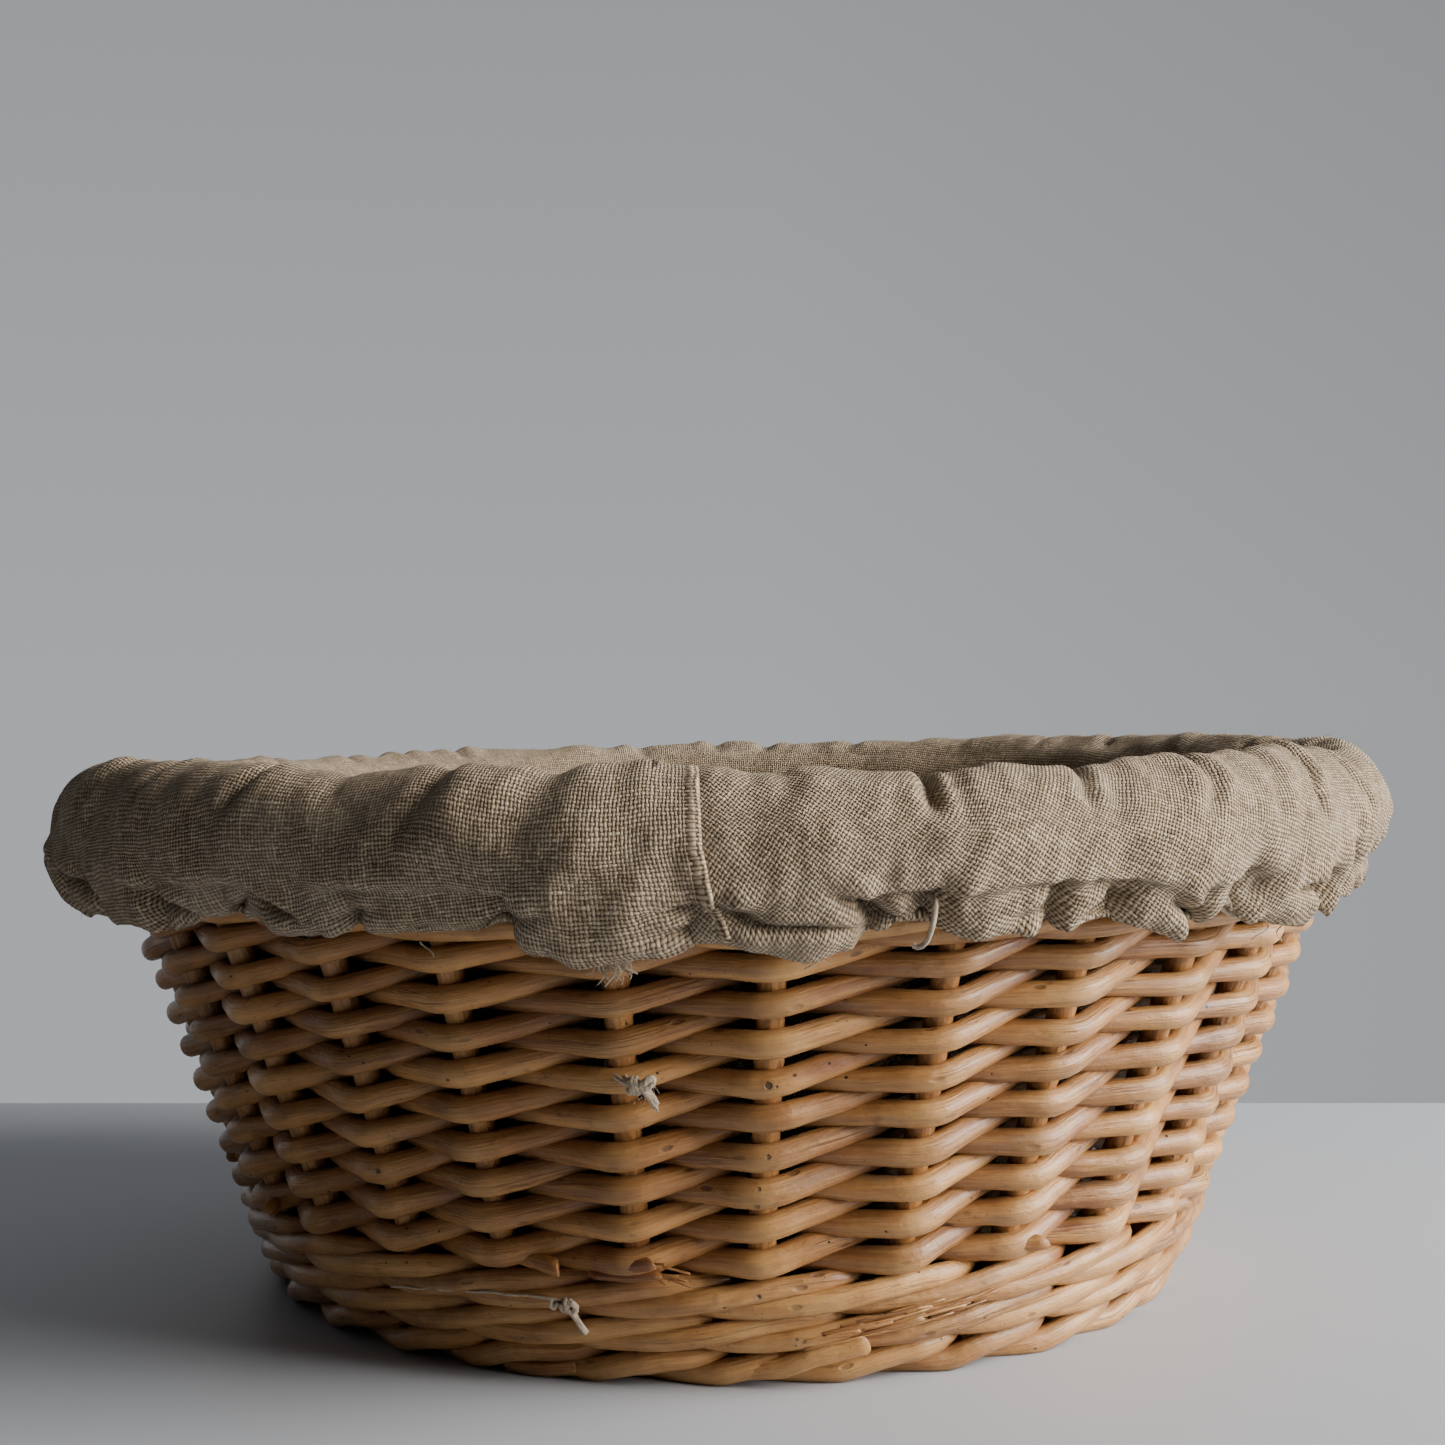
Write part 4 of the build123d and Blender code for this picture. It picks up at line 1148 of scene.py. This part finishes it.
# one end hangs out of the hem and lies up over the gathers
pts = [place(14.3, 131.5, 88.6), place(14.2, 134.4, 88.5), place(14.1, 136.5, 87.6), place(13.95, 137.0, 85.4),
       place(13.8, 136.2, 83.0), place(13.65, 135.1, 81.4), place(13.3, 134.2, 80.6), place(12.95, 133.8, 80.9)]
line = string_line(pts, 70)
draw.add(line, steady(line, place(14.0, 1.0, 0.3)), 0.46, 0.46, seed=62, sides=12, nodes=False, lobes=3, twist=2.2)
draw.piece("drawstring", STRING, "cotton_string", "hem_drawstring")


def local_frame(angle, s, out):
    centre, normal = wall_points(angle, s, out)
    t = math.radians(angle)
    right = np.array([math.cos(t), math.sin(t), 0.0])
    up = np.cross(normal, right)
    up = up if up[2] > 0 else -up
    return centre, right, up, normal


def tie(tubes, frame_, paths, seed):
    centre, right, up, normal = frame_
    for i, (thick, points, twist) in enumerate(paths):
        p = np.asarray(points, float)
        world = centre + p[:, :1] * right + p[:, 1:2] * up + p[:, 2:] * normal
        line = string_line(world, 14 * (len(p) - 1))
        tubes.add(line, steady(line, normal + 0.3 * up), thick, thick, seed=seed + i, sides=12, nodes=False, lobes=3, twist=twist, rough=0.03)




def coil(centre_, radius_, start, turns, run, n=9):
    """Wraps of string round a bundle lying along the first local axis."""
    rows_ = []
    for i in range(int(turns * n) + 1):
        t = start + 2 * math.pi * i / n
        rows_.append((centre_[0] + run * i / (turns * n), centre_[1] + radius_ * math.cos(t), centre_[2] + radius_ * 0.8 * math.sin(t)))
    return rows_


upper = Tubes()
place_1 = local_frame(-6.3, s_at(56.6, 7.0), 7.0)
tie(upper, place_1, [
    (0.62, coil((-2.1, 0.0, 0.2), 1.05, 2.0, 2.5, 1.5), 2.6),
    (0.64, [(-0.7, -0.5, 0.2), (-0.3, 0.5, 0.9), (0.3, 0.9, 1.0), (0.9, 1.4, 0.8), (1.55, 1.5, 0.5), (1.7, 0.9, 0.5), (1.2, 0.35, 0.8), (0.5, 0.0, 1.0), (-0.2, -0.3, 0.9)], 2.6),
    (0.60, [(-0.5, 0.5, 0.6), (0.1, -0.1, 1.1), (0.6, -0.9, 0.9), (1.0, -1.8, 0.6), (1.5, -2.8, 0.5), (1.8, -3.5, 0.5)], 1.4),
    (0.52, [(0.2, 0.2, 0.5), (0.7, -0.5, 0.6), (1.3, -1.4, 0.5), (1.7, -2.3, 0.4), (2.1, -3.3, 0.4)], 1.4),
    (0.45, [(-2.2, 0.6, 0.2), (-2.9, 0.5, -1.0), (-3.5, 0.2, -3.2), (-3.4, -0.2, -6.0), (-2.2, -0.3, -8.6), (-4.2, 0.0, -10.2), (-6.6, 0.1, -8.6), (-6.9, 0.1, -5.8), (-6.2, 0.2, -3.6), (-4.6, 0.4, -1.6), (-3.1, 0.4, -0.1), (-2.0, 0.2, 0.5)], 2.2),
], 7000)
rng = np.random.default_rng(88)
for i in range(26):
    centre, right, up, normal = place_1
    start = centre + right * rng.uniform(1.5, 2.1) + up * rng.uniform(-3.7, -3.2) + normal * rng.uniform(0.2, 0.7)
    d = right * rng.uniform(-0.2, 0.9) - up * rng.uniform(0.3, 1.0) + normal * rng.uniform(-0.1, 0.5)
    t = np.linspace(0, 1, 5)[:, None]
    line = start + d * t * rng.uniform(0.5, 1.2) - np.array([0, 0, 0.2]) * t**2
    upper.add(line, steady(line, normal), 0.07, 0.07, seed=7100 + i, sides=4, nodes=False)
for i in range(40):
    centre, right, up, normal = place_1
    start = centre + right * rng.uniform(-2.4, 2.0) + up * rng.uniform(-2.4, 1.6) + normal * rng.uniform(0.9, 1.4)
    d = right * rng.normal() + up * rng.normal() + normal * rng.uniform(0.3, 1.2)
    t = np.linspace(0, 1, 5)[:, None]
    line = start + d * t * rng.uniform(0.3, 0.9)
    upper.add(line, steady(line, right), 0.035, 0.035, seed=7200 + i, sides=3, nodes=False)
upper.piece("tie_upper_string", STRING, "cotton_string", "tie_upper")

lower_tie = Tubes()
place_2 = local_frame(-15.1, s_at(15.6, 6.6), 6.6)
tie(lower_tie, place_2, [
    (0.58, coil((-0.9, -0.1, 0.2), 0.85, 1.0, 2.0, 1.5), 2.6),
    (0.56, [(0.5, 0.4, 0.4), (1.1, 0.6, 0.7), (1.6, 0.0, 0.7), (1.4, -0.8, 0.8), (0.6, -1.0, 0.9), (0.0, -0.4, 0.9), (0.3, 0.4, 0.8)], 2.6),
    (0.52, [(0.3, -0.4, 0.9), (0.9, -1.5, 0.8), (1.5, -2.9, 0.6), (2.1, -4.4, 0.5), (2.6, -5.6, 0.4)], 1.6),
    (0.34, [(0.6, -0.8, 0.5), (1.4, -1.9, 0.6), (1.9, -3.0, 0.7), (2.5, -4.4, 0.5), (2.9, -5.4, 0.2)], 1.6),
    (0.40, [(-2.9, 0.7, 0.0), (-3.0, -0.2, 0.5), (-2.6, -0.9, 0.3), (-2.2, -0.2, 0.4), (-1.4, 0.2, 0.4)], 2.6),
], 7400)
thread_angles = np.linspace(-35.8, -15.8, 60)
thread_z = np.interp(thread_angles, [-35.8, -30.0, -24.0, -17.7, -15.8], [14.3, 15.4, 16.3, 16.5, 16.2])
r, z, nr, nz = stake_line(s_at(thread_z, 6.7), 6.7 + 0.12 * np.sin(thread_angles * 1.7))
line = place(thread_angles, r, z)
lower_tie.add(line, place(thread_angles, nr, nz), 0.22, 0.22, seed=7450, sides=8, nodes=False, lobes=2, twist=3.0)
lower_tie.piece("tie_lower_string", STRING, "cotton_string", "tie_lower")

# ---- the table, the air behind it and the light --------------------------------
def paint(name, colour, rough):
    m = Nodes(name)
    grain = m.scaled(m.node("ShaderNodeTexCoord").outputs["Object"], (1, 1, 1))
    cloud = m.noise(grain, 3.0, 3.0)
    m.link(m.mix(m.range(cloud, 0.3, 0.7, 0.0, 0.25), colour, tuple(0.94 * c for c in colour)), m.shader.inputs["Base Color"])
    m.shader.inputs["Roughness"].default_value = rough
    return m.material


table_mesh = bpy.data.meshes.new("table")
nx, ny = 24, 16
xs, ys = np.linspace(-1.5, 1.5, nx + 1), np.linspace(-1.5, 0.175, ny + 1)
table_points = [(x, y, float(low[2])) for y in ys for x in xs]
table_faces = [(j * (nx + 1) + i, j * (nx + 1) + i + 1, (j + 1) * (nx + 1) + i + 1, (j + 1) * (nx + 1) + i) for j in range(ny) for i in range(nx)]
table_mesh.from_pydata(table_points, [], table_faces)
table = bpy.data.objects.new("table", table_mesh)
table_mesh.materials.append(paint("table_paint", (0.46, 0.485, 0.525), 0.5))
bpy.context.scene.collection.objects.link(table)

world = bpy.data.worlds.new("air")
bpy.context.scene.world = world
world.use_nodes = True
background = world.node_tree.nodes["Background"]
air = world.node_tree.nodes.new("ShaderNodeTexCoord")
split_air = world.node_tree.nodes.new("ShaderNodeSeparateXYZ")
world.node_tree.links.new(air.outputs["Generated"], split_air.inputs[0])
near_far = world.node_tree.nodes.new("ShaderNodeMapRange")
near_far.interpolation_type = "SMOOTHSTEP"
near_far.inputs["From Min"].default_value = -0.15
near_far.inputs["From Max"].default_value = 0.75
near_far.inputs["To Min"].default_value = 0.02
near_far.inputs["To Max"].default_value = 1.0
world.node_tree.links.new(split_air.outputs[1], near_far.inputs["Value"])
up_down = world.node_tree.nodes.new("ShaderNodeMapRange")
up_down.inputs["From Min"].default_value = 0.0
up_down.inputs["From Max"].default_value = 0.34
up_down.inputs["To Min"].default_value = 1.09
up_down.inputs["To Max"].default_value = 0.84
world.node_tree.links.new(split_air.outputs[2], up_down.inputs["Value"])
both = world.node_tree.nodes.new("ShaderNodeMath")
both.operation = "MULTIPLY"
world.node_tree.links.new(near_far.outputs["Result"], both.inputs[0])
world.node_tree.links.new(up_down.outputs["Result"], both.inputs[1])
# the wall darkens to the right, and more light falls from overhead
side_ways = world.node_tree.nodes.new("ShaderNodeMapRange")
side_ways.inputs["From Min"].default_value = 0.02
side_ways.inputs["From Max"].default_value = 0.34
side_ways.inputs["To Min"].default_value = 1.0
side_ways.inputs["To Max"].default_value = 0.84
world.node_tree.links.new(split_air.outputs[0], side_ways.inputs["Value"])
wall_light = world.node_tree.nodes.new("ShaderNodeMath")
wall_light.operation = "MULTIPLY"
world.node_tree.links.new(both.outputs[0], wall_light.inputs[0])
world.node_tree.links.new(side_ways.outputs["Result"], wall_light.inputs[1])
overhead = world.node_tree.nodes.new("ShaderNodeMapRange")
overhead.inputs["From Min"].default_value = 0.42
overhead.inputs["From Max"].default_value = 0.95
overhead.inputs["To Min"].default_value = 0.0
overhead.inputs["To Max"].default_value = 0.25
world.node_tree.links.new(split_air.outputs[2], overhead.inputs["Value"])
behind = world.node_tree.nodes.new("ShaderNodeMapRange")
behind.inputs["From Min"].default_value = -0.25
behind.inputs["From Max"].default_value = 0.30
behind.inputs["To Min"].default_value = 0.10
behind.inputs["To Max"].default_value = 1.0
world.node_tree.links.new(split_air.outputs[1], behind.inputs["Value"])
from_above = world.node_tree.nodes.new("ShaderNodeMath")
from_above.operation = "MULTIPLY_ADD"
world.node_tree.links.new(overhead.outputs["Result"], from_above.inputs[0])
world.node_tree.links.new(behind.outputs["Result"], from_above.inputs[1])
world.node_tree.links.new(wall_light.outputs[0], from_above.inputs[2])
# the plain backdrop is seen all the way round, though it lights only from behind
backdrop = world.node_tree.nodes.new("ShaderNodeMath")
backdrop.operation = "MULTIPLY"
world.node_tree.links.new(up_down.outputs["Result"], backdrop.inputs[0])
world.node_tree.links.new(side_ways.outputs["Result"], backdrop.inputs[1])
ray = world.node_tree.nodes.new("ShaderNodeLightPath")
seen = world.node_tree.nodes.new("ShaderNodeMix")
seen.data_type = "FLOAT"
world.node_tree.links.new(ray.outputs["Is Camera Ray"], seen.inputs[0])
world.node_tree.links.new(from_above.outputs[0], seen.inputs[2])
world.node_tree.links.new(backdrop.outputs[0], seen.inputs[3])
world.node_tree.links.new(seen.outputs[0], background.inputs["Strength"])
background.inputs["Color"].default_value = (0.412, 0.425, 0.448, 1.0)


def lamp(name, at, towards, size, watts, colour=(1, 1, 1)):
    light = bpy.data.lights.new(name, "AREA")
    light.shape = "RECTANGLE"
    light.size, light.size_y = size
    light.energy = watts
    light.color = colour
    made = bpy.data.objects.new(name, light)
    made.location = at
    d = np.array(towards, float) - np.array(at, float)
    yaw = math.atan2(d[1], d[0])
    pitch = math.atan2(d[2], math.hypot(d[0], d[1]))
    made.rotation_euler = (math.pi / 2 + pitch, 0, yaw - math.pi / 2)
    bpy.context.scene.collection.objects.link(made)


lamp("window", (1.32, -0.27, 0.60), (0, 0, 0.06), (1.1, 1.0), 72.0, (1.0, 0.972, 0.928))
lamp("room", (-0.7, -1.3, 0.9), (0, 0, 0.06), (1.0, 1.0), 0.25, (0.97, 0.98, 1.0))
